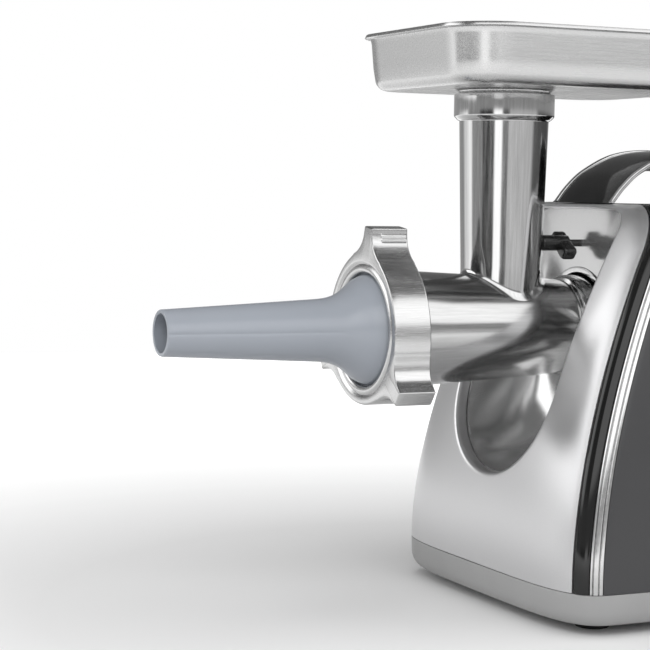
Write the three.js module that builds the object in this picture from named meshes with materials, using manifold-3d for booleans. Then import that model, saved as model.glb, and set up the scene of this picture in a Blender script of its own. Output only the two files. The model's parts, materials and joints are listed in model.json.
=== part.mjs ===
// Electric meat grinder with a sausage nozzle, as an assembly of separate parts.
// Millimetres, +Z up.  The nozzle points along -Y and the controls are on the +X side.
// Inside the `machine` group, Y is the distance behind the screw ring's front face and
// Z is the height above the head's axis, so every part of the head lies on X = Z = 0.

import * as THREE from 'three';
import { mergeVertices } from 'three/addons/utils/BufferGeometryUtils.js';
import Module from 'manifold-3d';

const wasm = await Module();
wasm.setup();

// ---------------------------------------------------------------- driving dimensions

const HEAD_AXIS_HEIGHT = 152;        // head axis above the table
const RING_FRONT_Y = -87.5;          // ring's front face in the part's own frame
const GAP = 0.3;                     // space left between parts that touch

const RING = { bodyR: 39, openingR: 30, threadR: 36.3, length: 21, lip: 4, lugR: 54.5, lugLean: 7 };
const BARREL = { mouthR: 35.8, seatR: 33.2, frontR: 29.85, backR: 26.4, wall: 3.2 };
const NECK = { r: 28.3, boreR: 21.5, start: 122.5, end: 146 };
const TUBE = { y: 84, baseR: 20.9, topR: 24.1, collarR: 27.1, collarFrom: 112, top: 126, wall: 2.8 };
const NOZZLE = { flangeR: 35.5, tip: -112, wall: 1.8 };
const PLATE = { r: 32.9, from: 7.75, to: 12.6, boreR: 5 };

const BODY = { bottom: -129, top: 68, rear: 283, wall: 3, cornerR: 24 };
const FRONT_DEPTH = 32;              // depth over which the front rounds into the sides
const REAR_DEPTH = 45;               // the same at the back
const SEAMS = { shell: 7, band: 12.6, trim: 19, rearCover: 246 };
const SCOOP = { halfWidth: 49, arcZ: -30, top: 65, topR: 14, back: 134, socketR: 31.6, sheet: 2.4 };
const BASE = { floor: -146, thickness: 4, footR: 10, table: -HEAD_AXIS_HEIGHT };

const HANDLE = {
  halfWidth: 26.2, coreHalfWidth: 15, frontY: 134, rearY: 256, footZ: 68.3, top: 99, strap: 4,
};
const STRIP = { from: 26.5, to: 29, depth: 2.6 };   // bright strips along both edges of the handle
const TRAY = { floor: 128, rim: 158, halfX: 70, halfY: 86, centreY: 108, sheet: 2.2, cornerR: 30 };
const LOCK = { z: 46, hubR: 4.4, from: 108, wingFrom: 118.5, wingTo: 126.5, wingTilt: -40 };
const PANEL = { y: 172, z: -30, halfY: 17, halfZ: 38, thickness: 5 };
const BUTTONS = { startR: 11, startZ: 16, reverseR: 8, reverseZ: -20, proud: 2.5 };

// Gear train: three spur stages from the motor's pinion up to the output shaft.
const STAGES = {
  output: { module: 2.5, gear: 30, pinion: 10, from: 161, to: 172 },
  second: { module: 2, gear: 30, pinion: 10, from: 176, to: 183 },
  first: { module: 1.5, gear: 36, pinion: 9, from: 187, to: 193 },
};
const OUTPUT_AXIS = new THREE.Vector2(0, 0);
const SECOND_AXIS = new THREE.Vector2(0, -50);
const FIRST_AXIS = stepAxis(SECOND_AXIS, STAGES.second, -18.2);
const MOTOR_AXIS = stepAxis(FIRST_AXIS, STAGES.first, -146);
const GEARBOX = { front: 151, rear: 197.5, wall: 3, plate: 4 };
const MOTOR = { canR: 40, canWall: 2.5, from: 203, to: 273, shaftR: 4, coreR: 22 };

function stepAxis(from, stage, degrees) {
  const distance = stage.module * (stage.gear + stage.pinion) / 2;
  const angle = THREE.MathUtils.degToRad(degrees);
  return new THREE.Vector2(from.x + distance * Math.cos(angle), from.y + distance * Math.sin(angle));
}

// ---------------------------------------------------------------- materials

const material = (color, roughness, metalness) =>
  new THREE.MeshStandardMaterial({ color, roughness, metalness });

const castAluminium = material(0xb4b6b8, 0.35, 1);
const satinSilver = material(0xc4c6c8, 0.25, 0.9);
const polishedSilver = material(0xd0d2d4, 0.1, 1);
const steel = material(0x9a9da0, 0.3, 1);
const brass = material(0xb58a3c, 0.35, 1);
const copper = material(0xa8622f, 0.4, 1);
const castZinc = material(0x85888a, 0.5, 0.8);
const blackGloss = material(0x0c0c0e, 0.12, 0);
const blackPlastic = material(0x141416, 0.45, 0);
const greyPlastic = material(0x4a4b4e, 0.4, 0);
const paleGreyPlastic = material(0x9fa1a4, 0.4, 0);
const nozzlePlastic = material(0x8f98a3, 0.35, 0);
const whitePlastic = material(0xe4e4e0, 0.4, 0);
const rubber = material(0x18181a, 0.9, 0);
const greenBoard = material(0x1f5c34, 0.5, 0);
const carbon = material(0x202022, 0.7, 0);

// ---------------------------------------------------------------- solids

// Turns a closed geometry into a solid with its faces pointing out.
function solid(geometry) {
  geometry.deleteAttribute('normal');
  geometry.deleteAttribute('uv');
  const merged = mergeVertices(geometry, 1e-4);
  const source = merged.index.array;
  const position = merged.attributes.position.array;
  const triangles = [];
  let volume = 0;
  for (let i = 0; i < source.length; i += 3) {
    const [a, b, c] = [source[i], source[i + 1], source[i + 2]];
    if (a === b || b === c || c === a) continue;
    triangles.push(a, b, c);
    const [pa, pb, pc] = [a, b, c].map((v) => new THREE.Vector3().fromArray(position, 3 * v));
    volume += pa.dot(pb.cross(pc));
  }
  if (volume < 0) triangles.reverse();
  const triVerts = new Uint32Array(triangles);
  const vertProperties = new Float32Array(position);
  return new wasm.Manifold(new wasm.Mesh({ numProp: 3, vertProperties, triVerts }));
}

const joined = (...solids) => solids.reduce((a, b) => a.add(b));
const cut = (base, ...tools) => tools.reduce((a, b) => a.subtract(b), base);

function part(name, look, body) {
  const mesh = body.getMesh();
  const geometry = new THREE.BufferGeometry();
  geometry.setAttribute('position', new THREE.BufferAttribute(mesh.vertProperties, 3));
  geometry.setIndex(new THREE.BufferAttribute(mesh.triVerts, 1));
  geometry.computeVertexNormals();
  const node = new THREE.Mesh(geometry, look);
  node.name = name;
  return node;
}

// Profiles are lists of [radius, distance along the axis].
const vectors = (points) => points.map(([x, y]) => new THREE.Vector2(x, y));

function turned(profile, segments) {
  const closesOnAxis = profile[0][0] === 0 && profile.at(-1)[0] === 0;
  const loop = closesOnAxis ? profile : [...profile, profile[0]];
  return new THREE.LatheGeometry(vectors(loop), segments);
}

const turnedY = (profile, segments = 24) => solid(turned(profile, segments));
const turnedZ = (profile, segments = 24) => solid(turned(profile, segments).rotateX(Math.PI / 2));
const turnedX = (profile, segments = 24) => solid(turned(profile, segments).rotateZ(-Math.PI / 2));

const ringProfile = (inner, outer, from, to) => [[inner, from], [outer, from], [outer, to], [inner, to]];
const rodProfile = (r, from, to) => [[0, from], [r, from], [r, to], [0, to]];

function moved(body, x, y, z) {
  return body.translate([x, y, z]);
}

function shapeOf(points, holes = []) {
  const shape = new THREE.Shape(vectors(points));
  for (const hole of holes) shape.holes.push(new THREE.Path(vectors(hole)));
  return shape;
}

function extruded(shape, depth, bevel = 0) {
  const bevelEnabled = bevel > 0;
  const options = { depth: depth - 2 * bevel, bevelEnabled, bevelSegments: 2 };
  options.bevelSize = bevel;
  options.bevelOffset = -bevel;
  options.bevelThickness = bevel;
  return new THREE.ExtrudeGeometry(shape, options).translate(0, 0, bevel);
}

// Outline in X and Z, pushed along Y.
function prismY(shape, from, to, bevel = 0) {
  return solid(extruded(shape, to - from, bevel).rotateX(Math.PI / 2).translate(0, to, 0));
}

// Outline in Y and Z, pushed along X.
function prismX(shape, from, to, bevel = 0) {
  const turn = new THREE.Matrix4().makeBasis(
    new THREE.Vector3(0, 1, 0), new THREE.Vector3(0, 0, 1), new THREE.Vector3(1, 0, 0));
  return solid(extruded(shape, to - from, bevel).applyMatrix4(turn).translate(from, 0, 0));
}

// Outline in X and Y, pushed along Z.
function prismZ(shape, from, to, bevel = 0) {
  return solid(extruded(shape, to - from, bevel).translate(0, 0, from));
}

// Box from its two opposite corners.
function block(low, high) {
  const size = high.map((value, axis) => value - low[axis]);
  const centre = high.map((value, axis) => (value + low[axis]) / 2);
  return solid(new THREE.BoxGeometry(...size).translate(...centre));
}

// Closed skin over rings of equally many points, with a fan over each end.
function loft(rings) {
  const count = rings[0].length;
  const points = rings.flat();
  const index = [];
  for (let ring = 0; ring + 1 < rings.length; ring += 1) {
    for (let i = 0; i < count; i += 1) {
      const a = ring * count + i;
      const b = ring * count + (i + 1) % count;
      index.push(a, b, b + count, a, b + count, a + count);
    }
  }
  for (const [ring, first, second] of [[0, 1, 0], [rings.length - 1, 0, 1]]) {
    const centre = new THREE.Vector3();
    for (const point of rings[ring]) centre.addScaledVector(point, 1 / count);
    points.push(centre);
    for (let i = 0; i < count; i += 1) {
      const edge = [ring * count + i, ring * count + (i + 1) % count];
      index.push(edge[first], edge[second], points.length - 1);
    }
  }
  const geometry = new THREE.BufferGeometry().setFromPoints(points);
  geometry.setIndex(index);
  return solid(geometry);
}

function circlePoints(r, count, phase = 0, x = 0, y = 0) {
  const points = [];
  for (let i = 0; i < count; i += 1) {
    const angle = phase + 2 * Math.PI * i / count;
    points.push([x + r * Math.cos(angle), y + r * Math.sin(angle)]);
  }
  return points;
}

function roundedRectangle(halfX, halfY, r, cornerSteps = 3) {
  const points = [];
  const corners = [[1, 1], [-1, 1], [-1, -1], [1, -1]];
  corners.forEach(([sx, sy], quarter) => {
    for (let i = 0; i <= cornerSteps; i += 1) {
      const angle = Math.PI / 2 * (quarter + i / cornerSteps);
      points.push([sx * (halfX - r) + r * Math.cos(angle), sy * (halfY - r) + r * Math.sin(angle)]);
    }
  });
  return points;
}

// ---------------------------------------------------------------- the body's outer form

// The front leans back as it rises; this is its distance behind the ring on the centreline.
function frontY(z) {
  return 71.5 + 59.5 * Math.max(0, (z + 125) / 191) ** 1.78;
}

function rearY(z) {
  return BODY.rear - 26 * Math.max(0, (z - BODY.bottom) / 197) ** 2;
}

function sideX(z) {
  return 98.5 - 20.5 * Math.max(0, (z - BODY.bottom) / 196) ** 1.5;
}

// Half the width at a height, with the top edges rounded.
function outlineX(z) {
  const over = Math.max(0, z - (BODY.top - BODY.cornerR));
  return sideX(z) - BODY.cornerR + Math.sqrt(BODY.cornerR ** 2 - over ** 2);
}

// Front and sides form one superellipse, so the front stays nearly flat across its middle.
function frontSurfaceY(x, z) {
  const across = Math.min(1, Math.abs(x / outlineX(z)));
  return frontY(z) + FRONT_DEPTH * (1 - (1 - across ** 4) ** 0.25);
}

const signedPower = (value, power) => Math.sign(value) * Math.abs(value) ** power;

// One level outline of the body; `push` moves only its front edge back.
function bodySlice(z, half, inset, push = 0) {
  const points = [];
  const steps = 10;
  for (let i = 0; i <= steps; i += 1) {
    const angle = Math.PI * (i / steps - 0.5);
    const x = half * signedPower(Math.sin(angle), 0.5);
    const y = frontY(z) + inset + push + FRONT_DEPTH * (1 - Math.abs(Math.cos(angle)) ** 0.5);
    points.push(new THREE.Vector3(x, y, z));
  }
  for (let i = 0; i <= 6; i += 1) {
    const angle = Math.PI * (0.5 - i / 6);
    const x = half * signedPower(Math.sin(angle), 2 / 3);
    const y = rearY(z) - inset - REAR_DEPTH * (1 - Math.abs(Math.cos(angle)) ** (2 / 3));
    points.push(new THREE.Vector3(x, y, z));
  }
  return points;
}

// The whole body as one solid, shrunk by `inset`; its top edges are rounded.
function bodySolid(inset, pushAt = () => 0) {
  const cornerZ = BODY.top - BODY.cornerR;
  const corner = BODY.cornerR - inset;
  const rings = [];
  const lowest = BODY.bottom - (inset > 0 ? 1 : 0);
  for (const z of [lowest, -95, -60, -25, 10, cornerZ]) {
    rings.push(bodySlice(z, sideX(z) - inset, inset, pushAt(z)));
  }
  for (const angle of [Math.PI / 6, Math.PI / 3, Math.PI / 2]) {
    const z = cornerZ + corner * Math.sin(angle);
    const half = sideX(z) - BODY.cornerR + corner * Math.cos(angle);
    rings.push(bodySlice(z, half, inset, pushAt(z)));
  }
  return loft(rings);
}

const FAR = 400;                     // beyond every part, for cutting tools

// Everything between two lines that run parallel to the leaning front edge.
function leaningSlab(from, to) {
  const near = [];
  const away = [];
  for (let z = -160; z <= 90; z += 25) {
    near.push([from === -FAR ? -FAR : frontY(z) + from, z]);
    away.unshift([to === FAR ? FAR : frontY(z) + to, z]);
  }
  return prismX(shapeOf([...near, ...away]), -FAR / 2, FAR / 2);
}

const bodyOuter = bodySolid(0);
const bodySkin = cut(bodyOuter, bodySolid(BODY.wall));
const upTo = (y) => block([-FAR, -FAR, -FAR], [FAR, y, FAR]);
const beyond = (y) => block([-FAR, y, -FAR], [FAR, FAR, FAR]);

// ---------------------------------------------------------------- scoop in the front

// U-shaped opening: a half circle below, straight sides, rounded corners at the top.
function scoopOutline(offset) {
  const half = SCOOP.halfWidth + offset;
  const r = SCOOP.topR + offset;
  const top = SCOOP.top + offset;
  const points = [];
  for (let i = 0; i <= 14; i += 1) {
    const angle = Math.PI * (1 + i / 14);
    points.push([half * Math.cos(angle), SCOOP.arcZ + half * Math.sin(angle)]);
  }
  for (const side of [1, -1]) {
    for (let i = 0; i <= 3; i += 1) {
      const step = side > 0 ? i / 3 : 1 - i / 3;
      const angle = Math.PI / 2 * step;
      points.push([side * (half - r + r * Math.cos(angle)), top - r + r * Math.sin(angle)]);
    }
  }
  return points;
}

// How far the shell's edge turns in around the scoop: least at the top lip.
function rimDepth(z) {
  return 1.5 + 5 * THREE.MathUtils.smoothstep(60 - z, 0, 60);
}

// Distance from the head's axis to the scoop's outline in a given direction.
function scoopRadius(outline, angle) {
  const dx = Math.cos(angle);
  const dz = Math.sin(angle);
  let radius = 0;
  outline.forEach(([x1, z1], i) => {
    const [x2, z2] = outline[(i + 1) % outline.length];
    const crossing = dx * (z2 - z1) - dz * (x2 - x1);
    if (Math.abs(crossing) < 1e-9) return;
    const distance = (x1 * (z2 - z1) - z1 * (x2 - x1)) / crossing;
    const along = (x1 * dz - z1 * dx) / crossing;
    if (distance > radius && along > -1e-6 && along < 1 + 1e-6) radius = distance;
  });
  return radius;
}

function frontShell() {
  const opening = prismY(shapeOf(scoopOutline(0)), -FAR, FAR);
  const sleeve = prismY(shapeOf(scoopOutline(2.4)), -FAR, FAR);
  const rim = cut(bodyOuter, bodySolid(0, rimDepth)).intersect(sleeve);
  const skin = bodySkin.intersect(leaningSlab(-FAR, SEAMS.shell));
  return part('front_shell', satinSilver, cut(joined(skin, rim), opening));
}

// Funnel from the scoop's rim back to the round socket, swept around the head's axis.
function hubSurround() {
  const outline = scoopOutline(-SCOOP.sheet - GAP);
  const spokes = 28;
  const curve = [0, 0.25, 0.5, 0.75, 1];
  const side = (thick) => curve.map((share) => {
    const bend = Math.PI / 2 * share;
    return { inward: Math.cos(bend), back: Math.sin(bend), thick };
  });
  const profile = [...side(0), ...side(SCOOP.sheet).reverse()];
  const points = [];
  for (let spoke = 0; spoke < spokes; spoke += 1) {
    const angle = 2 * Math.PI * (spoke + 0.5) / spokes;
    const rimR = scoopRadius(outline, angle);
    const x = rimR * Math.cos(angle);
    const z = rimR * Math.sin(angle);
    const rimY = frontSurfaceY(x, z) + rimDepth(z);
    for (const { inward, back, thick } of profile) {
      const r = SCOOP.socketR + (rimR + thick - SCOOP.socketR) * inward;
      const y = rimY + (SCOOP.back + thick - rimY) * back;
      points.push(new THREE.Vector3(r * Math.cos(angle), y, r * Math.sin(angle)));
    }
  }
  const index = [];
  const count = profile.length;
  for (let spoke = 0; spoke < spokes; spoke += 1) {
    for (let i = 0; i < count; i += 1) {
      const next = (i + 1) % count;
      const a = spoke * count + i;
      const b = spoke * count + next;
      const c = ((spoke + 1) % spokes) * count + next;
      const d = ((spoke + 1) % spokes) * count + i;
      index.push(a, b, c, a, c, d);
    }
  }
  const geometry = new THREE.BufferGeometry().setFromPoints(points);
  geometry.setIndex(index);
  const spindleHole = moved(turnedY(rodProfile(2.6, 100, 160), 12), 0, 0, LOCK.z);
  return part('hub_surround', polishedSilver, cut(solid(geometry), spindleHole));
}

function socketRing() {
  const profile = ringProfile(29.3, SCOOP.socketR - GAP, SCOOP.back + 1, 149);
  return part('socket_ring', polishedSilver, turnedY(profile));
}

// ---------------------------------------------------------------- body panels and base

function bodyBand() {
  return part('body_band', blackGloss,
    bodySkin.intersect(leaningSlab(SEAMS.shell + GAP, SEAMS.band)));
}

function trimHoop() {
  return part('trim_hoop', polishedSilver,
    bodySkin.intersect(leaningSlab(SEAMS.band + GAP, SEAMS.trim)));
}

// Places a tool at the control panel, whose outward direction is local +X.
function atPanel(body) {
  const slope = Math.atan((sideX(PANEL.z - 10) - sideX(PANEL.z + 10)) / 20);
  const degrees = -THREE.MathUtils.radToDeg(slope);
  return moved(body.rotate([0, degrees, 0]), sideX(PANEL.z), PANEL.y, PANEL.z);
}

function panelPlate(spare, from, to) {
  return prismX(shapeOf(roundedRectangle(PANEL.halfY + spare, PANEL.halfZ + spare, 12)), from, to);
}

function mainHousing() {
  const skin = bodySkin.intersect(leaningSlab(SEAMS.trim + GAP, FAR)).intersect(upTo(SEAMS.rearCover));
  return part('main_housing', greyPlastic, cut(skin, atPanel(panelPlate(GAP, -9, 5))));
}

function rearCover() {
  const slots = [];
  for (let i = 0; i < 5; i += 1) {
    const z = -30 + 11 * i;
    slots.push(block([-38, 200, z - 2], [38, 300, z + 2]));
  }
  const glandHole = moved(turnedY(rodProfile(7.3, 250, 300), 20), 0, 0, -108);
  const skin = bodySkin.intersect(beyond(SEAMS.rearCover + GAP));
  return part('rear_cover', greyPlastic, cut(skin, glandHole, ...slots));
}

function basePan() {
  const floorZ = BASE.floor + BASE.thickness;
  const ring = (z, inset) => bodySlice(z, sideX(BODY.bottom) - inset, inset);
  const outer = loft([ring(BASE.floor, 2.5), ring(BASE.floor + 3, 0.6), ring(BODY.bottom - GAP, 0)]);
  const inner = loft([ring(floorZ, 4), ring(BODY.bottom + 1, 3)]);
  return part('base_pan', paleGreyPlastic, cut(outer, inner));
}

const FOOT_PLACES = [
  ['foot_front_left', -68, 104],
  ['foot_front_right', 68, 104],
  ['foot_rear_left', -68, 250],
  ['foot_rear_right', 68, 250],
];

function feet() {
  const top = BASE.floor - GAP;
  const profile = [[0, BASE.table], [BASE.footR - 1.5, BASE.table], [BASE.footR, BASE.table + 1.5],
    [BASE.footR, top], [0, top]];
  return FOOT_PLACES.map(([name, x, y]) => part(name, rubber, moved(turnedZ(profile, 14), x, y, 0)));
}

function cordGland() {
  const profile = [[3.6, 275], [10, 275], [10, 277], [7, 277], [7, 284], [6, 287], [3.6, 287]];
  return part('cord_gland', blackPlastic, moved(turnedY(profile, 16), 0, 0, -108));
}

// ---------------------------------------------------------------- handle

// The arch's outer line from the front foot to the rear foot, `offset` below its crown.
function archLine(offset) {
  const middle = (HANDLE.frontY + HANDLE.rearY) / 2;
  const crown = HANDLE.top - offset;
  const foot = HANDLE.frontY + 1.25 * offset;
  const rise = [[foot, HANDLE.footZ], [foot + 8, HANDLE.footZ + 9.6 - 0.1 * offset],
    [153 + 0.8 * offset, 87 - 0.6 * offset], [172, 96 - offset], [middle, crown]];
  const half = new THREE.SplineCurve(vectors(rise)).getPoints(9).map((point) => [point.x, point.y]);
  const mirrored = half.slice(0, -1).map(([y, z]) => [2 * middle - y, z]).reverse();
  return [...half, ...mirrored];
}

// A wide strap over the arch, thickened along its middle for the grip.
function handleBody() {
  const inner = [[146, HANDLE.footZ], [161, 83.2], [169, 86.2],
    [221, 86.2], [229, 83.2], [244, HANDLE.footZ]];
  const strapOutline = [...archLine(0.3), ...archLine(HANDLE.strap).reverse()];
  const coreOutline = [...archLine(1), ...inner.reverse()];
  const strap = prismX(shapeOf(strapOutline), -HANDLE.halfWidth, HANDLE.halfWidth);
  const core = prismX(shapeOf(coreOutline), -HANDLE.coreHalfWidth, HANDLE.coreHalfWidth, 2);
  return part('handle_body', blackGloss, joined(strap, core));
}

function handleStrips() {
  const outline = shapeOf([...archLine(0), ...archLine(STRIP.depth).reverse()]);
  return [
    part('handle_strip_left', polishedSilver, prismX(outline, -STRIP.to, -STRIP.from)),
    part('handle_strip_right', polishedSilver, prismX(outline, STRIP.from, STRIP.to)),
  ];
}

// ---------------------------------------------------------------- head lock

function lockKnob() {
  const hub = turnedY([[0, LOCK.from], [3.6, LOCK.from], [LOCK.hubR, LOCK.from + 1],
    [LOCK.hubR, LOCK.wingTo - 1], [0, LOCK.wingTo - 1]], 20);
  const wingOutline = [[-7, -2.4], [-5.5, -3.4], [0, -3.2], [8, -3.8], [11.5, -2.4],
    [11.5, 2.8], [9.5, 4.4], [0, 3.4], [-5.5, 3.4], [-7, 2.4]];
  const wing = prismY(shapeOf(wingOutline), LOCK.wingFrom, LOCK.wingTo, 1.2);
  const knob = joined(hub, wing.rotate([0, -LOCK.wingTilt, 0]));
  const bore = turnedY(rodProfile(2.3, LOCK.wingFrom + 2, LOCK.wingTo + 1), 12);
  return part('lock_knob', blackPlastic, moved(cut(knob, bore), 0, 0, LOCK.z));
}

function lockSpindle() {
  const front = LOCK.wingFrom + 2.4;
  const profile = [[0, front], [2, front], [2, 139], [5, 139], [5, 143], [0, 143]];
  return part('lock_spindle', blackPlastic, moved(turnedY(profile, 12), 0, 0, LOCK.z));
}

// ---------------------------------------------------------------- grinding head

function grinderHead() {
  const barrel = turnedY([[0, PLATE.from], [BARREL.mouthR, PLATE.from], [BARREL.mouthR, 20.5],
    [31.2, 22.5], [BARREL.frontR, 47], [BARREL.backR, 113], [26, 119], [25, 121.5],
    [27.2, NECK.start], [NECK.r, 125], [NECK.r, NECK.end], [0, NECK.end]], 28);
  const tube = moved(turnedZ([[0, 0], [TUBE.baseR, 0], [TUBE.topR, TUBE.collarFrom - 0.5],
    [TUBE.collarR - 2, TUBE.collarFrom], [TUBE.collarR, TUBE.collarFrom + 2],
    [TUBE.collarR, TUBE.top], [0, TUBE.top]]), 0, TUBE.y, 0);
  const barrelBore = turnedY([[0, PLATE.from - 1], [BARREL.seatR, PLATE.from - 1],
    [BARREL.seatR, PLATE.to + 0.2], [28.4, PLATE.to + 0.2],
    [BARREL.frontR - BARREL.wall, 47], [BARREL.backR - BARREL.wall, 113], [23.2, 116], [11, 116],
    [11, 133], [NECK.boreR, 133], [NECK.boreR, NECK.end + 1], [0, NECK.end + 1]], 28);
  const tubeBore = moved(turnedZ([[0, 0], [TUBE.baseR - TUBE.wall, 0],
    [TUBE.topR - TUBE.wall, TUBE.collarFrom], [24.4, 118], [24.4, TUBE.top + 1], [0, TUBE.top + 1]]),
  0, TUBE.y, 0);
  return part('grinder_head', castAluminium, cut(joined(barrel, tube), barrelBore, tubeBore));
}

function headBush() {
  return part('head_bush', whitePlastic, turnedY(ringProfile(7.3, 10.7, 118, 132.8), 20));
}

// Ring outline with three lugs; each lug is given by [radius, half width] from root to tip.
function ringOutline() {
  const lug = [[38.2, 14.5], [42, 10], [46, 7], [50, 5.4], [53.4, 4.7], [RING.lugR, 3.2]];
  const points = [];
  for (let k = 0; k < 3; k += 1) {
    const centre = THREE.MathUtils.degToRad(90 - RING.lugLean - 120 * k);
    const place = ([r, half], side) => {
      const turn = centre - side * Math.asin(half / r);
      return [r * Math.cos(turn), r * Math.sin(turn)];
    };
    for (const step of lug) points.push(place(step, -1));
    for (const step of [...lug].reverse()) points.push(place(step, 1));
    for (let i = 1; i < 7; i += 1) {
      const turn = centre - THREE.MathUtils.degToRad(22 + 76 * i / 7);
      points.push([RING.bodyR * Math.cos(turn), RING.bodyR * Math.sin(turn)]);
    }
  }
  return points.reverse();
}

function screwRing() {
  const blank = prismY(shapeOf(ringOutline()), 0, RING.length);
  const opening = turnedY(rodProfile(RING.openingR, -1, 10));
  const thread = turnedY(rodProfile(RING.threadR, RING.lip, RING.length + 1));
  return part('screw_ring', castAluminium, cut(blank, opening, thread));
}

function sausageNozzle() {
  const outer = [[29.3, RING.lip + GAP], [28.4, 0.5], [25.4, -4], [21.6, -9], [18.6, -15],
    [16.45, -24], [13.35, -84], [11.9, NOZZLE.tip]];
  const inner = outer.map(([r, y]) => [r - NOZZLE.wall, y]).reverse();
  const flange = [[29, RING.lip + GAP + 3], [NOZZLE.flangeR, RING.lip + GAP + 3],
    [NOZZLE.flangeR, RING.lip + GAP]];
  return part('sausage_nozzle', nozzlePlastic, turnedY([...inner, ...flange, ...outer]));
}

function holePlate() {
  const disc = turnedY(ringProfile(PLATE.boreR, PLATE.r, PLATE.from, PLATE.to));
  const holes = [];
  for (const [count, r] of [[6, 13], [12, 24]]) {
    for (const [x, z] of circlePoints(r, count)) {
      holes.push(prismY(shapeOf(circlePoints(3.9, 6, 0, x, z)), PLATE.from - 1, PLATE.to + 1));
    }
  }
  return part('hole_plate', steel, cut(disc, ...holes));
}

function cuttingKnife() {
  const hub = turnedY(rodProfile(9.5, 13, 18.4), 20);
  const blade = block([-26.4, 13, -4.5], [26.4, 18.4, 4.5]);
  const blades = [0, 90].map((degrees) => blade.rotate([0, degrees, 0]));
  const square = block([-4, 12, -4], [4, 20, 4]);
  return part('cutting_knife', steel, cut(joined(hub, ...blades), square));
}

// Helical flight: one lobe of a round section, turned as it runs along the axis.
function auger() {
  const from = 18.9;
  const to = 115.4;
  const steps = 24;
  const turns = 3;
  const rings = [];
  for (let step = 0; step <= steps; step += 1) {
    const along = step / steps;
    const y = from + (to - from) * along;
    const core = 9 + 3 * along;
    const flight = Math.min(27.6, BARREL.frontR - BARREL.wall - 0.8 - (y - 47) * 0.0523);
    const lobe = [[-0.5, core], [-0.36, core + 1], [-0.1, flight],
      [0.1, flight], [0.36, core + 1], [0.5, core]];
    const section = [...lobe];
    for (let i = 1; i < 5; i += 1) section.push([0.5 + (2 * Math.PI - 1) * i / 5, core]);
    rings.push(section.map(([angle, r]) => {
      const turn = angle - 2 * Math.PI * turns * along;
      return new THREE.Vector3(r * Math.sin(turn), y, r * Math.cos(turn));
    }));
  }
  const pin = turnedY(rodProfile(4.7, 8.2, 12.8), 16);
  const square = block([-3.7, 12.7, -3.7], [3.7, 19.5, 3.7]);
  const shaft = turnedY([[0, 115], [7, 115], [7, 134], [5, 134], [5, 145.2], [0, 145.2]], 20);
  const screwHole = turnedY(rodProfile(2.2, 136, 147), 10);
  return part('auger', castAluminium, cut(joined(loft(rings), pin, square, shaft), screwHole));
}

function augerCoupling() {
  const hexagon = shapeOf(circlePoints(13, 6), [circlePoints(5.3, 20)]);
  return part('auger_coupling', whitePlastic, prismY(hexagon, 134.5, 145.5));
}

function couplingScrew() {
  const profile = [[0, 138], [1.9, 138], [1.9, 145.8], [4.4, 145.8], [4.4, 148], [0, 148]];
  return part('coupling_screw', steel, turnedY(profile, 12));
}

// ---------------------------------------------------------------- tray and pusher

function feedTray() {
  const ring = (shrink, z) => {
    const outline = roundedRectangle(TRAY.halfX - shrink, TRAY.halfY - shrink, TRAY.cornerR - shrink);
    return outline.map(([x, y]) => new THREE.Vector3(x, y + TRAY.centreY, z));
  };
  const outer = loft([ring(10, TRAY.floor), ring(5, TRAY.floor + 5), ring(2.5, TRAY.rim - 2),
    ring(0, TRAY.rim - 2), ring(0, TRAY.rim)]);
  const inner = loft([ring(11.5, TRAY.floor + TRAY.sheet), ring(7.4, TRAY.floor + 6.2),
    ring(4.7, TRAY.rim + 1)]);
  const spigot = moved(turnedZ(rodProfile(24, 118.6, TRAY.floor + 1), 32), 0, TUBE.y, 0);
  const mouth = moved(turnedZ(rodProfile(21.6, 118, TRAY.rim), 32), 0, TUBE.y, 0);
  return part('feed_tray', castAluminium, cut(joined(outer, spigot), inner, mouth));
}

function foodPusher() {
  const seat = TRAY.floor + TRAY.sheet + GAP;
  const profile = [[0, 74], [17.4, 76], [17.4, seat], [26, seat], [26, seat + 3], [14, seat + 6],
    [13, 148], [20, 152], [21, 156], [17, 160], [0, 161]];
  return part('food_pusher', greyPlastic, moved(turnedZ(profile, 20), 0, TUBE.y, 0));
}

// ---------------------------------------------------------------- controls

function controlBezel() {
  const holes = [
    turnedX(rodProfile(BUTTONS.startR + GAP, -9, 9), 24),
    turnedX(rodProfile(BUTTONS.reverseR + GAP, -9, 9), 24),
  ];
  const plate = panelPlate(0, -PANEL.thickness + 0.8, 0.8);
  const start = moved(holes[0], 0, 0, BUTTONS.startZ);
  const reverse = moved(holes[1], 0, 0, BUTTONS.reverseZ);
  return part('control_bezel', blackGloss, atPanel(cut(plate, start, reverse)));
}

function button(name, look, r, z) {
  const profile = [[0, -6], [r, -6], [r, BUTTONS.proud - 1], [r - 1, BUTTONS.proud], [0, BUTTONS.proud]];
  return part(name, look, atPanel(moved(turnedX(profile, 24), 0, 0, z)));
}

function switchBlock(name, z) {
  return part(name, blackPlastic, atPanel(block([-20, -7, z - 9], [-8.6, 7, z + 9])));
}

// ---------------------------------------------------------------- gear train

// Spur gear with generous backlash; a tooth points along `phase`.
function gearOutline(module, teeth, phase) {
  const pitch = module * teeth / 2;
  const step = 2 * Math.PI / teeth;
  const points = [];
  for (let k = 0; k < teeth; k += 1) {
    for (const [r, width] of [[pitch - 1.15 * module, -0.3], [pitch + 0.75 * module, -0.1],
      [pitch + 0.75 * module, 0.1], [pitch - 1.15 * module, 0.3]]) {
      const angle = phase + step * (k + width);
      points.push([r * Math.cos(angle), r * Math.sin(angle)]);
    }
  }
  return points;
}

function directionTo(from, to) {
  return Math.atan2(to.y - from.y, to.x - from.x);
}

const atAxis = (body, axis) => moved(body, axis.x, 0, axis.y);

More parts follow.
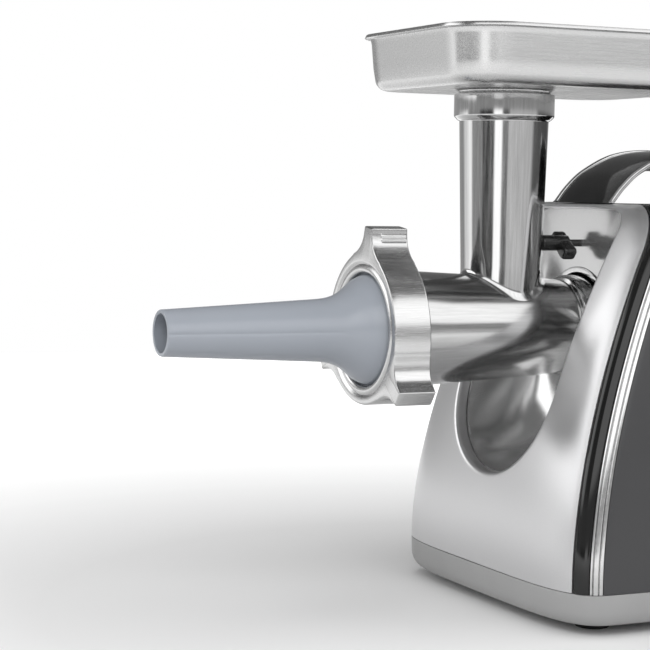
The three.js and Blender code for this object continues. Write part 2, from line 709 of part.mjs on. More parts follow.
function spurGear(name, look, stage, axis, partner, boreR) {
  const outline = gearOutline(stage.module, stage.gear, directionTo(axis, partner));
  const body = prismY(shapeOf(outline, [circlePoints(boreR, 20)]), stage.from, stage.to);
  return part(name, look, atAxis(body, axis));
}

// Pinion with a gap facing its gear, on a shaft of its own.
function pinionShaft(name, stage, axis, partner, shaftR, from, to) {
  const phase = directionTo(axis, partner) + Math.PI / stage.pinion;
  const outline = gearOutline(stage.module, stage.pinion, phase);
  const teeth = prismY(shapeOf(outline), stage.from - 0.8, stage.to + 0.8);
  return part(name, steel, atAxis(joined(teeth, turnedY(rodProfile(shaftR, from, to), 16)), axis));
}

function outputShaft() {
  const body = turnedY([[0, 137], [18.5, 137], [18.5, 150.4], [10, 150.4], [10, 195], [8, 195],
    [8, 201], [0, 201]], 24);
  const socket = prismY(shapeOf(circlePoints(14.2, 6)), 136, 148.6);
  return part('output_shaft', steel, cut(body, socket));
}

// Convex outline around circles given as [centre, radius].
function outlineAround(circles) {
  const points = circles.flatMap(([centre, r]) => circlePoints(r, 14, 0, centre.x, centre.y));
  points.sort((a, b) => a[0] - b[0] || a[1] - b[1]);
  const turn = (o, a, b) => (a[0] - o[0]) * (b[1] - o[1]) - (a[1] - o[1]) * (b[0] - o[0]);
  const half = (list) => {
    const hull = [];
    for (const point of list) {
      while (hull.length > 1 && turn(hull.at(-2), hull.at(-1), point) <= 1e-6) hull.pop();
      hull.push(point);
    }
    return hull.slice(0, -1);
  };
  return [...half(points), ...half([...points].reverse())];
}

function gearboxOutline(extra) {
  return shapeOf(outlineAround([[OUTPUT_AXIS, 42 + extra], [SECOND_AXIS, 34 + extra],
    [FIRST_AXIS, 31 + extra], [MOTOR_AXIS, 14 + extra]]));
}

function gearboxHousing() {
  const outer = prismY(gearboxOutline(GEARBOX.wall), GEARBOX.front, GEARBOX.rear - GAP);
  const inner = prismY(gearboxOutline(0), GEARBOX.front + GEARBOX.wall, GEARBOX.rear);
  const boss = turnedY(rodProfile(20.5, GEARBOX.front, 160.4), 24);
  const tools = [
    turnedY(rodProfile(10.4, 140, 158), 24),
    turnedY(rodProfile(17.3, 154.2, 162), 24),
    atAxis(turnedY(rodProfile(5.3, 140, 160), 12), SECOND_AXIS),
    atAxis(turnedY(rodProfile(4.3, 140, 160), 12), FIRST_AXIS),
  ];
  return part('gearbox_housing', castZinc, cut(joined(cut(outer, inner), boss), ...tools));
}

function gearboxCover() {
  const to = GEARBOX.rear + GEARBOX.plate;
  const plate = prismY(gearboxOutline(GEARBOX.wall), GEARBOX.rear, to);
  const tools = [
    turnedY(rodProfile(14.3, 190, 210), 24),
    atAxis(turnedY(rodProfile(9.3, 190, 210), 20), MOTOR_AXIS),
    atAxis(turnedY(rodProfile(5.3, 190, 210), 12), SECOND_AXIS),
    atAxis(turnedY(rodProfile(4.3, 190, 210), 12), FIRST_AXIS),
  ];
  return part('gearbox_cover', castZinc, cut(plate, ...tools));
}

function bearing(name, look, axis, inner, outer, from, to) {
  return part(name, look, atAxis(turnedY(ringProfile(inner, outer, from, to), 16), axis));
}

// ---------------------------------------------------------------- motor

function motorCan() {
  const inner = MOTOR.canR - MOTOR.canWall;
  const can = turnedY([[inner, MOTOR.from], [MOTOR.canR, MOTOR.from], [MOTOR.canR, MOTOR.to],
    [9.3, MOTOR.to], [9.3, MOTOR.to - 2.7], [inner, MOTOR.to - 2.7]], 28);
  return part('motor_can', castZinc, atAxis(can, MOTOR_AXIS));
}

function motorStator() {
  const ring = turnedY(ringProfile(MOTOR.coreR + 0.8, MOTOR.canR - MOTOR.canWall - GAP, 213, 251), 28);
  const slots = block([-29, 200, -9], [29, 260, 9]);
  return part('motor_stator', steel, atAxis(cut(ring, slots), MOTOR_AXIS));
}

function fieldCoil(name, side) {
  const [near, away] = side > 0 ? [23.2, 28.6] : [-28.6, -23.2];
  return part(name, copper, atAxis(block([near, 211, -8.6], [away, 253, 8.6]), MOTOR_AXIS));
}

function armatureCore() {
  const slots = 12;
  const outline = [];
  for (let k = 0; k < slots; k += 1) {
    for (const [r, place] of [[15, 0.14], [MOTOR.coreR, 0.14], [MOTOR.coreR, 0.86], [15, 0.86]]) {
      const angle = 2 * Math.PI * (k + place) / slots;
      outline.push([r * Math.cos(angle), r * Math.sin(angle)]);
    }
  }
  const shape = shapeOf(outline, [circlePoints(MOTOR.shaftR + GAP, 12)]);
  return part('armature_core', copper, atAxis(prismY(shape, 214, 250), MOTOR_AXIS));
}

function commutator() {
  return bearing('commutator', brass, MOTOR_AXIS, MOTOR.shaftR + GAP, 11, 254, 266);
}

function coolingFan() {
  const disc = turnedY(rodProfile(33, 208.5, 210.5), 24);
  const hub = turnedY(rodProfile(8, 204.5, 210), 16);
  const blades = [];
  for (let k = 0; k < 8; k += 1) {
    blades.push(block([6, 204.5, -0.8], [31.5, 209, 0.8]).rotate([0, 45 * k, 0]));
  }
  const bore = turnedY(rodProfile(MOTOR.shaftR + GAP, 200, 215), 12);
  return part('cooling_fan', whitePlastic, atAxis(cut(joined(disc, hub, ...blades), bore), MOTOR_AXIS));
}

function carbonBrush(name, side) {
  const [near, away] = side > 0 ? [11.4, 30] : [-30, -11.4];
  return part(name, carbon, atAxis(block([near, 257.5, -2.5], [away, 262.5, 2.5]), MOTOR_AXIS));
}

function brushHolder(name, side) {
  const [near, away] = side > 0 ? [18, 36.6] : [-36.6, -18];
  const box = block([near, 255.9, -4.1], [away, 264.1, 4.1]);
  const channel = block([near - 1, 257.1, -2.9], [away + 1, 262.9, 2.9]);
  return part(name, brass, atAxis(cut(box, channel), MOTOR_AXIS));
}

function circuitBoard() {
  const board = block([-66, 175, -112], [-64.4, 245, -52]);
  const relay = block([-64.6, 182, -80], [-48, 198, -62]);
  const choke = block([-64.6, 205, -104], [-50, 225, -86]);
  const capacitor = moved(turnedX(rodProfile(7, -64.6, -44), 16), 0, 230, -66);
  return part('circuit_board', greenBoard, joined(board, relay, choke, capacitor));
}

// ---------------------------------------------------------------- assembly

const machine = new THREE.Group();
machine.position.set(0, RING_FRONT_Y, HEAD_AXIS_HEIGHT);

machine.add(grinderHead(), headBush(), screwRing(), sausageNozzle(), holePlate(), cuttingKnife());
machine.add(auger(), augerCoupling(), couplingScrew(), feedTray(), foodPusher());
machine.add(frontShell(), hubSurround(), socketRing(), bodyBand(), trimHoop(), mainHousing());
machine.add(rearCover(), basePan(), ...feet(), cordGland());
machine.add(handleBody(), ...handleStrips(), lockKnob(), lockSpindle());

machine.add(controlBezel());
machine.add(button('start_button', whitePlastic, BUTTONS.startR, BUTTONS.startZ));
machine.add(button('reverse_button', greyPlastic, BUTTONS.reverseR, BUTTONS.reverseZ));
machine.add(switchBlock('start_switch', BUTTONS.startZ), switchBlock('reverse_switch', BUTTONS.reverseZ));

machine.add(gearboxHousing(), gearboxCover(), outputShaft());
machine.add(spurGear('output_gear', steel, STAGES.output, OUTPUT_AXIS, SECOND_AXIS, 10.3));
machine.add(spurGear('second_gear', steel, STAGES.second, SECOND_AXIS, FIRST_AXIS, 5.3));
machine.add(spurGear('first_gear', whitePlastic, STAGES.first, FIRST_AXIS, MOTOR_AXIS, 4.3));
machine.add(pinionShaft('second_pinion_shaft', STAGES.output, SECOND_AXIS, OUTPUT_AXIS, 5, 152, 201));
machine.add(pinionShaft('first_pinion_shaft', STAGES.second, FIRST_AXIS, SECOND_AXIS, 4, 152, 201));
machine.add(pinionShaft('motor_shaft', STAGES.first, MOTOR_AXIS, FIRST_AXIS, MOTOR.shaftR, 186, 275));
machine.add(bearing('output_front_bearing', steel, OUTPUT_AXIS, 10.3, 17, 154.5, 160.2));
machine.add(bearing('output_rear_bearing', steel, OUTPUT_AXIS, 8.3, 14, 195.6, 201.2));

machine.add(motorCan(), motorStator(), fieldCoil('field_coil_right', 1), fieldCoil('field_coil_left', -1));
machine.add(armatureCore(), commutator(), coolingFan());
machine.add(bearing('motor_front_bearing', steel, MOTOR_AXIS, MOTOR.shaftR + GAP, 9, 197, 202));
machine.add(bearing('motor_rear_bearing', steel, MOTOR_AXIS, MOTOR.shaftR + GAP, 9, 269, 273));
machine.add(carbonBrush('carbon_brush_right', 1), carbonBrush('carbon_brush_left', -1));
machine.add(brushHolder('brush_holder_right', 1), brushHolder('brush_holder_left', -1));
machine.add(circuitBoard());

const group = new THREE.Group();
group.add(machine);

export default group;
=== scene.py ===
"""Looks of the electric meat grinder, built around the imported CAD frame."""
import json
import math

import bmesh
import bpy
import numpy as np
from mathutils import Matrix, Vector

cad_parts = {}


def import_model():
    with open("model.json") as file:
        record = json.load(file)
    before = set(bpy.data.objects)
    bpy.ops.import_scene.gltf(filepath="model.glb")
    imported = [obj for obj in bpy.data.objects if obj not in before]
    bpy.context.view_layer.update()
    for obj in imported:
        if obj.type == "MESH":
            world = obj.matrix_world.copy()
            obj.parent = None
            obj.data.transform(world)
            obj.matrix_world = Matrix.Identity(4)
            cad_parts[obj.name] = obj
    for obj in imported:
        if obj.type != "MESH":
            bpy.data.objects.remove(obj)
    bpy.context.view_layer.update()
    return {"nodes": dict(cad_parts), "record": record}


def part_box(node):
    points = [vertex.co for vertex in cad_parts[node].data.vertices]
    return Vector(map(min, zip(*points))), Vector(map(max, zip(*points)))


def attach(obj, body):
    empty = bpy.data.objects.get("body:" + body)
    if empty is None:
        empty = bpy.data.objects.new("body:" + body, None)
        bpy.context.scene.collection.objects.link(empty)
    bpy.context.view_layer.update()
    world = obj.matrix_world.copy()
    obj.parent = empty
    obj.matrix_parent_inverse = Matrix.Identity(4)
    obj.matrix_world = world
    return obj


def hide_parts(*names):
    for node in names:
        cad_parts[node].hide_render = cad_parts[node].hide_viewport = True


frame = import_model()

# ---------------------------------------------------------------- places, from the frame

MM = 0.001
NOZZLE_LOW, NOZZLE_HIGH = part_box("sausage_nozzle")
AXIS_Z = (NOZZLE_LOW.z + NOZZLE_HIGH.z) / 2      # height of the head's axis
RING_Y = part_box("screw_ring")[0].y               # the ring's front face


def low(node, axis):
    """A node's lowest value along an axis, in millimetres of the machine's own space."""
    return local(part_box(node)[0])[axis]


def high(node, axis):
    """A node's highest value along an axis, in the same millimetres."""
    return local(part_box(node)[1])[axis]


def middle(node, axis):
    return (low(node, axis) + high(node, axis)) / 2


def local(point):
    """Row frame in metres to the machine's space: millimetres from the ring's face and axis."""
    return (point[0] / MM, (point[1] - RING_Y) / MM, (point[2] - AXIS_Z) / MM)


def place(points):
    """The machine's space back to the row frame in metres."""
    return np.asarray(points, float) * MM + np.array([0, RING_Y, AXIS_Z])


X, Y, Z = 0, 1, 2
FLOOR_Z = low("foot_front_left", Z)
BODY_BOTTOM = low("front_shell", Z)
BODY_TOP = high("main_housing", Z)
HALF_WIDTH, SIDE_LEAN, SIDE_CURVE = 98.5, 20.5, 1.5    # at the foot, then how far the sides come in
FRONT_Y, FRONT_LEAN, FRONT_CURVE = 71.5, 59.5, 1.78
REAR_Y, REAR_LEAN, REAR_CURVE = 283, 26, 2
FRONT_DEPTH, FRONT_SQUARE = 32, 4                # how deep the front is rounded, and how squarely
REAR_DEPTH, REAR_SQUARE = 45, 3
CORNER_R = 24                                    # top corners, seen from the front
CORNER_Z = BODY_TOP - CORNER_R
SHEET = 2.6                                      # wall of every body panel
SEAM_GAP = 0.35
SHELL_SEAM, BAND_SEAM, TRIM_SEAM = 7, 12.6, 19   # seams, in millimetres behind the front face
REAR_SEAM = high("main_housing", Y)
TUBE_Y = middle("food_pusher", Y)
HEAD_TOP = high("grinder_head", Z)

# ---------------------------------------------------------------- mesh tools


def piece(name, shape, body, slot, nodes, look=None, crease=35, cutters=()):
    points, faces = shape
    mesh = bpy.data.meshes.new(name)
    mesh.from_pydata(place(points).tolist(), [], [tuple(face) for face in faces])
    obj = linked(name, mesh)
    clean(mesh, crease)
    for cutter in cutters:
        subtract(obj, cutter)
    if cutters:
        clean(obj.data, crease)
    obj.data.materials.clear()
    obj.data.materials.append(LOOKS[look or SLOT_LOOKS.get(slot, slot)])
    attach(obj, body)
    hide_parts(*nodes)


def linked(name, data):
    """New object in the scene."""
    obj = bpy.data.objects.new(name, data)
    bpy.context.scene.collection.objects.link(obj)
    return obj


def clean(mesh, crease):
    """Merges doubled points, turns faces outwards and keeps edges over the crease angle sharp."""
    work = bmesh.new()
    work.from_mesh(mesh)
    bmesh.ops.remove_doubles(work, verts=work.verts, dist=2e-6)
    bmesh.ops.dissolve_degenerate(work, dist=1e-6, edges=work.edges)
    bmesh.ops.recalc_face_normals(work, faces=work.faces)
    for face in work.faces:
        face.smooth = True
    limit = math.radians(crease)
    for edge in work.edges:
        edge.smooth = len(edge.link_faces) == 2 and edge.calc_face_angle(0) < limit
    work.to_mesh(mesh)
    work.free()


def subtract(obj, cutter):
    """Cuts a closed shape out of an object."""
    points, faces = cutter
    mesh = bpy.data.meshes.new("cutter")
    mesh.from_pydata(place(points).tolist(), [], [tuple(face) for face in faces])
    tool = linked("cutter", mesh)
    clean(mesh, 30)
    modifier = obj.modifiers.new("cut", "BOOLEAN")
    modifier.operation = "DIFFERENCE"
    modifier.solver = "EXACT"
    modifier.object = tool
    bpy.context.view_layer.update()
    evaluated = obj.evaluated_get(bpy.context.evaluated_depsgraph_get())
    result = bpy.data.meshes.new_from_object(evaluated)
    obj.modifiers.clear()
    obj.data = result
    bpy.data.objects.remove(tool)


def strip_faces(rows, cols, wrap_rows, wrap_cols):
    """Four-sided faces over rows of points, joined round either way."""
    faces = []
    for i in range(rows if wrap_rows else rows - 1):
        for j in range(cols if wrap_cols else cols - 1):
            next_row, next_col = (i + 1) % rows, (j + 1) % cols
            faces.append((i * cols + j, i * cols + next_col, next_row * cols + next_col,
                          next_row * cols + j))
    return faces


def rings(rows, closed=True):
    """Solid from rings of points: joined round, or capped at its first and last ring."""
    count = len(rows[0])
    faces = strip_faces(len(rows), count, closed, True)
    if not closed:
        faces.append(tuple(range(count)))
        faces.append(tuple(range((len(rows) - 1) * count, len(rows) * count)))
    return np.concatenate(rows), faces


def rounded(points, radius=0.6, steps=4, closed=True):
    """Replaces each corner of a line with a small curve; a point may carry its own radius."""
    flat = [np.array(p[:2], float) for p in points]
    radii = [p[2] if len(p) > 2 else radius for p in points]
    count = len(flat)
    line = []
    for i, corner in enumerate(flat):
        if not closed and i in (0, count - 1):
            line.append(corner)
            continue
        before = flat[i - 1] - corner
        after = flat[(i + 1) % count] - corner
        reach_in, reach_out = np.linalg.norm(before), np.linalg.norm(after)
        reach = min(radii[i], 0.45 * reach_in, 0.45 * reach_out)
        if reach < 1e-3:
            line.append(corner)
            continue
        first = corner + before / reach_in * reach
        last = corner + after / reach_out * reach
        for k in range(steps + 1):
            s = k / steps
            line.append((1 - s) ** 2 * first + 2 * s * (1 - s) * corner + s * s * last)
    return np.array(line)


def lathe(profile, segments=96, axis="y", centre=(0, 0, 0)):
    """Turns a closed [radius, distance] line, or one that ends on the axis, into a solid."""
    profile = np.asarray(profile, float)
    angles = turns(segments)
    r, along = profile[:, 0][:, None], profile[:, 1][:, None]
    across, up, run = r * np.cos(angles), r * np.sin(angles), along + 0 * angles
    order = {"y": (across, run, up), "z": (across, up, run), "x": (run, across, up)}[axis]
    points = np.stack(order, axis=-1).reshape(-1, 3) + np.array(centre, float)
    open_ended = profile[0, 0] == 0 and profile[-1, 0] == 0
    return points, strip_faces(len(profile), segments, not open_ended, True)


def prism(outline, start, end, edge=1.0, axis="y", steps=4):
    """Pushes a closed outline along an axis, with its two rims rounded."""
    outline = np.asarray(outline, float)
    normals = outline_normals(outline)
    rows = []
    arcs = [(edge * (1 - math.sin(a)), edge * (1 - math.cos(a)))
            for a in np.linspace(0, math.pi / 2, steps + 1)]
    levels = [(inset, start + depth) for inset, depth in arcs]
    levels += [(inset, end - depth) for inset, depth in reversed(arcs)]
    for inset, along in levels:
        flat = outline - normals * inset
        run = np.full(len(flat), along)
        order = {"y": (flat[:, 0], run, flat[:, 1]), "x": (run, flat[:, 0], flat[:, 1]),
                 "z": (flat[:, 0], flat[:, 1], run)}[axis]
        rows.append(np.stack(order, axis=-1))
    return rings(rows, closed=False)


def outline_normals(outline):
    """Outward directions along a closed outline, whichever way round it runs."""
    along = np.roll(outline, -1, axis=0) - np.roll(outline, 1, axis=0)
    normals = np.stack([along[:, 1], -along[:, 0]], axis=-1)
    normals /= np.linalg.norm(normals, axis=1, keepdims=True) + 1e-12
    x, y = outline[:, 0], outline[:, 1]
    area = np.sum(x * np.roll(y, -1) - np.roll(x, -1) * y)
    return normals if area > 0 else -normals


def grid_normals(grid, wrap, inside):
    """Outward directions of a grid of points, pointing away from an inside point."""
    du = np.gradient(grid, axis=0)
    if wrap:
        dv = np.roll(grid, -1, axis=1) - np.roll(grid, 1, axis=1)
    else:
        dv = np.gradient(grid, axis=1)
    normals = np.cross(du, dv)
    normals /= np.linalg.norm(normals, axis=2, keepdims=True) + 1e-12
    away = np.sign(np.sum(normals * (grid - np.array(inside, float)), axis=2).mean())
    return normals * away


def sheet(grid, thickness, wrap, inside, edge=0.4):
    """Closed wall of even thickness behind a grid of points, with slightly rounded edges."""
    normals = grid_normals(grid, wrap, inside)

    def edge_rows(row, neighbour, normal):
        inward = neighbour - row
        inward /= np.linalg.norm(inward, axis=1, keepdims=True) + 1e-12
        return [row - normal * edge, row - normal * edge * 0.3 + inward * edge * 0.3,
                row + inward * edge]

    rows = edge_rows(grid[0], grid[1], normals[0])
    rows += list(grid[1:-1])
    rows += reversed(edge_rows(grid[-1], grid[-2], normals[-1]))
    picks = sorted({round(k) for k in np.linspace(0, len(grid) - 1, max(4, len(grid) // 3))})
    inner = [grid[k] - normals[k] * thickness for k in picks]
    rows += reversed(inner)
    count = grid.shape[1]
    faces = strip_faces(len(rows), count, True, wrap)
    if not wrap:
        total = len(rows)
        faces.append(tuple(i * count for i in range(total)))
        faces.append(tuple(i * count + count - 1 for i in range(total)))
    return np.concatenate(rows), faces


def curve_through(points, count):
    """Smooth line through points, evenly spaced along its length."""
    points = np.asarray(points, float)
    padded = np.vstack([2 * points[0] - points[1], points, 2 * points[-1] - points[-2]])
    line = []
    for i in range(1, len(padded) - 2):
        p0, p1, p2, p3 = padded[i - 1:i + 3]
        for s in np.linspace(0, 1, 24, endpoint=False):
            line.append(0.5 * (2 * p1 + (p2 - p0) * s + (2 * p0 - 5 * p1 + 4 * p2 - p3) * s ** 2
                               + (3 * p1 - p0 - 3 * p2 + p3) * s ** 3))
    line.append(points[-1])
    return resample(np.array(line), count)


def resample(line, count):
    """The same line with evenly spaced points."""
    lengths = np.concatenate([[0], np.cumsum(np.linalg.norm(np.diff(line, axis=0), axis=1))])
    wanted = np.linspace(0, lengths[-1], count)
    return np.stack([np.interp(wanted, lengths, line[:, k]) for k in range(line.shape[1])], axis=-1)


def turns(count):
    """Evenly spaced angles all the way round."""
    return np.linspace(0, 2 * math.pi, count, endpoint=False)


def rounded_rectangle(half_x, half_y, r, steps=10):
    """Closed outline of a rectangle with round corners, around the origin."""
    points = []
    for quarter, (sx, sy) in enumerate([(1, 1), (-1, 1), (-1, -1), (1, -1)]):
        for k in range(steps + 1):
            angle = math.pi / 2 * (quarter + k / steps)
            points.append([sx * (half_x - r) + r * math.cos(angle),
                           sy * (half_y - r) + r * math.sin(angle)])
    return np.array(points)


def ray_radius(outline, angle, centre=(0.0, 0.0)):
    """Distance from a centre to a closed outline in one direction."""
    a = outline - np.array(centre)
    b = np.roll(a, -1, axis=0)
    dx, dy = math.cos(angle), math.sin(angle)
    edge = b - a
    crossing = dx * edge[:, 1] - dy * edge[:, 0]
    safe = np.where(np.abs(crossing) < 1e-9, 1e-9, crossing)
    distance = (a[:, 0] * edge[:, 1] - a[:, 1] * edge[:, 0]) / safe
    along = (a[:, 0] * dy - a[:, 1] * dx) / safe
    good = (along > -1e-4) & (along < 1 + 1e-4) & (distance > 0)
    return distance[good].max()


# ---------------------------------------------------------------- materials


EVEN = (1, 1, 1)                                 # a grain that isn't stretched


def new_material(name):
    """Material, its node tree and its shader."""
    look = bpy.data.materials.new(name)
    look.use_nodes = True
    shader = look.node_tree.nodes["Principled BSDF"]
    return look, look.node_tree, shader


def noise(tree, stretch, scale, detail=3.0, rough=0.55):
    """Noise in the object's own space, stretched along an axis by a small scale there."""
    coords = tree.nodes.new("ShaderNodeTexCoord")
    mapping = tree.nodes.new("ShaderNodeMapping")
    mapping.inputs["Scale"].default_value = stretch
    texture = tree.nodes.new("ShaderNodeTexNoise")
    texture.inputs["Scale"].default_value = scale
    texture.inputs["Detail"].default_value = detail
    texture.inputs["Roughness"].default_value = rough
    tree.links.new(coords.outputs["Object"], mapping.inputs["Vector"])
    tree.links.new(mapping.outputs["Vector"], texture.inputs["Vector"])
    return texture.outputs["Fac"]


def ranged(tree, value, to_low, to_high, from_low=0.3, from_high=0.7):
    """Maps a value from one range to another; noise mostly lies between 0.3 and 0.7."""
    node = tree.nodes.new("ShaderNodeMapRange")
    node.inputs["From Min"].default_value = from_low
    node.inputs["From Max"].default_value = from_high
    node.inputs["To Min"].default_value = to_low
    node.inputs["To Max"].default_value = to_high
    tree.links.new(value, node.inputs["Value"])
    return node.outputs["Result"]


def tinted(tree, value, dark, light):
    """Colour between two, by a value from 0 to 1."""
    node = tree.nodes.new("ShaderNodeMix")
    node.data_type = "RGBA"
    node.inputs[6].default_value = (*dark, 1)
    node.inputs[7].default_value = (*light, 1)
    tree.links.new(value, node.inputs[0])
    return node.outputs[2]


def bumped(tree, shader, value, strength, distance=0.0002):
    """Fine surface height from a value; the distance is in metres."""
    node = tree.nodes.new("ShaderNodeBump")
    node.inputs["Strength"].default_value = strength
    node.inputs["Distance"].default_value = distance
    tree.links.new(value, node.inputs["Height"])
    tree.links.new(node.outputs["Normal"], shader.inputs["Normal"])


def metal(name, dark, light, rough, stretch, scale, bump=0.05, metallic=1.0):
    """Metal with a grain: tone, roughness and height all follow one stretched noise."""
    look, tree, shader = new_material(name)
    shader.inputs["Metallic"].default_value = metallic
    grain = noise(tree, stretch, scale)
    tone = ranged(tree, grain, 0, 1)
    tree.links.new(tinted(tree, tone, dark, light), shader.inputs["Base Color"])
    tree.links.new(ranged(tree, grain, rough[0], rough[1]), shader.inputs["Roughness"])
    if bump:
        bumped(tree, shader, grain, bump)
    return look


def plastic(name, dark, light, rough, scale=900, bump=0.04):
    """Moulded plastic: a fine surface grain and a faint large-scale variation in tone."""
    look, tree, shader = new_material(name)
    fine = noise(tree, EVEN, scale, 2.0)
    broad = noise(tree, EVEN, 14, 2.0)
    tree.links.new(tinted(tree, ranged(tree, broad, 0, 1), dark, light), shader.inputs["Base Color"])
    tree.links.new(ranged(tree, fine, rough[0], rough[1]), shader.inputs["Roughness"])
    if bump:
        bumped(tree, shader, fine, bump, 0.0001)
    return look


def grey(value, blue=0.0):
    """Grey, with a share more blue."""
    return (value, value, value * (1 + blue))


# Each metal: darker tone, lighter tone, roughness, stretch and scale of its grain, bump, metallic.
METALS = {
    "tube_metal": (grey(0.45), grey(0.52), (0.09, 0.14), (1, 1, 0.02), 900, 0.02),
    "barrel_metal": (grey(0.44), grey(0.5), (0.12, 0.18), (1, 0.03, 1), 900, 0.02),
    "ring_metal": (grey(0.5), grey(0.58), (0.2, 0.28), (1, 0.04, 1), 2200, 0.03),
    "tray_metal": (grey(0.48), grey(0.54), (0.22, 0.3), (1, 0.03, 1), 1500, 0.02),
    "shell_silver": (grey(0.58, 0.01), grey(0.6, 0.01), (0.3, 0.32), EVEN, 1600, 0.0, 0.85),
    "scoop_silver": (grey(0.6), grey(0.62), (0.17, 0.19), EVEN, 300, 0.0, 0.85),
    "trim_silver": (grey(0.58), grey(0.64), (0.1, 0.15), EVEN, 400, 0.0),
    "steel": (grey(0.42), grey(0.56), (0.22, 0.38), (1, 0.1, 1), 500, 0.06),
    "brass": ((0.55, 0.38, 0.14), (0.72, 0.52, 0.22), (0.25, 0.4), EVEN, 300, 0.05),
    "copper": ((0.45, 0.17, 0.07), (0.66, 0.28, 0.12), (0.3, 0.45), (1, 0.05, 1), 900, 0.2),
    "cast_zinc": (grey(0.3), grey(0.4), (0.45, 0.65), EVEN, 350, 0.2),
}

# Each plastic: darker tone, lighter tone, roughness, scale of its grain, bump.
PLASTICS = {
    "black_gloss": (grey(0.004), grey(0.008), (0.07, 0.1), 60, 0.0),
    "black_plastic": (grey(0.01), grey(0.016), (0.2, 0.28)),
    "panel_grey": (grey(0.036, 0.05), grey(0.042, 0.05), (0.28, 0.33)),
    "base_grey": (grey(0.25), grey(0.3), (0.35, 0.45)),
    "nozzle_grey": ((0.262, 0.282, 0.315), (0.27, 0.29, 0.323), (0.26, 0.27), 2600, 0.0),
    "white_plastic": (grey(0.42), grey(0.46), (0.3, 0.4)),
    "pusher_grey": (grey(0.1), grey(0.13), (0.3, 0.42)),
    "rubber": (grey(0.012), grey(0.022), (0.75, 0.9), 500, 0.2),
    "circuit_board": ((0.01, 0.09, 0.03), (0.02, 0.16, 0.06), (0.3, 0.5), 200, 0.3),
    "carbon": (grey(0.02), grey(0.05), (0.5, 0.7), 700, 0.2),
}

LOOKS = {name: metal(name, *values) for name, values in METALS.items()}
LOOKS.update({name: plastic(name, *values) for name, values in PLASTICS.items()})

# Looks of the record's slots, where the slot's own name isn't the look's name.
SLOT_LOOKS = {
    "cast_aluminium": "barrel_metal", "satin_silver": "shell_silver", "polished_silver": "trim_silver",
    "grey_plastic": "panel_grey", "pale_grey_plastic": "base_grey", "nozzle_plastic": "nozzle_grey",
}


def finish_cad_nodes():
    """Gives every CAD node the procedural material of its slot."""
    for entry in frame["record"]["subparts"]:
        node = frame["nodes"][entry["node"]]
        node.data.materials.clear()
        slot = entry["material_slot"]
        node.data.materials.append(LOOKS[SLOT_LOOKS.get(slot, slot)])


# ---------------------------------------------------------------- the body's outer form


def risen(z, foot, height):
    """How far up the body a height is, from 0 at the foot to about 1 at the top."""
    return np.maximum(0, (np.asarray(z, float) - foot) / height)


def front_y(z):
    """Depth of the front face along its middle; the face leans back as it rises."""
    return FRONT_Y + FRONT_LEAN * risen(z, -125, 191) ** FRONT_CURVE


def rear_y(z):
    return REAR_Y - REAR_LEAN * risen(z, -129, 197) ** REAR_CURVE


def side_x(z):
    return HALF_WIDTH - SIDE_LEAN * risen(z, -129, 196) ** SIDE_CURVE


def outline_x(z):
    """Half width of the body seen from the front, with its top corners rounded."""
    over = np.clip(np.asarray(z, float) - CORNER_Z, 0, CORNER_R)
    return side_x(z) - CORNER_R + np.sqrt(CORNER_R ** 2 - over ** 2)


def front_surface(x, z):
    across = np.minimum(1, np.abs(x / outline_x(z)))
    return front_y(z) + FRONT_DEPTH * (1 - (1 - across ** FRONT_SQUARE) ** (1 / FRONT_SQUARE))


def rear_surface(x, z):
    across = np.minimum(1, np.abs(x / outline_x(z)))
    return rear_y(z) - REAR_DEPTH * (1 - np.maximum(0, 1 - across ** REAR_SQUARE) ** (1 / REAR_SQUARE))


def width_at(z, y):
    """Half width of the body at a height and a depth, rounding in at the front and the back."""
    from_front = np.clip((FRONT_DEPTH - (y - front_y(z))) / FRONT_DEPTH, 0, 1)
    from_rear = np.clip((y - (rear_y(z) - REAR_DEPTH)) / REAR_DEPTH, 0, 1)
    front = (1 - from_front ** FRONT_SQUARE) ** (1 / FRONT_SQUARE)
    rear = np.maximum(0, 1 - from_rear ** REAR_SQUARE) ** (1 / REAR_SQUARE)
    return outline_x(z) * front * rear


def hoop(depth_at):
    """Line over the body from its left foot across the top to its right foot.

    depth_at gives the distance behind the ring for each height."""
    rise = np.linspace(BODY_BOTTOM, CORNER_Z, 60)
    corner = CORNER_Z + CORNER_R * np.sin(np.linspace(0, np.pi / 2, 19)[1:])
    z = np.concatenate([rise, corner])
    y = depth_at(z)
    x = width_at(z, y)
    left = np.stack([-x, y, z], axis=-1)
    top_x = np.linspace(-x[-1], x[-1], 42)[1:-1]
    top = np.stack([top_x, np.full(40, y[-1]), np.full(40, z[-1])], axis=-1)
    right = left[::-1] * np.array([-1, 1, 1])
    return np.concatenate([left, top, right])


INSIDE = (0, 190, -40)                           # a point well inside the body


def hoop_panel(name, slot, node, start, end_at, steps, relief=None, cutters=()):
    """Body panel between two lines around the hoop; relief raises or sinks it across its width."""
    rows = []
    for k in range(steps + 1):
        share = k / steps
        rows.append(hoop(lambda z: (front_y(z) + start) * (1 - share) + end_at(z) * share))
    grid = np.array(rows)
    if relief:
        normals = grid_normals(grid, False, INSIDE)
        heights = np.array([relief(k / steps) for k in range(steps + 1)])
        grid = grid + normals * heights[:, None, None]
    piece(name, sheet(grid, SHEET, False, INSIDE), "machine", slot, [node], cutters=cutters)


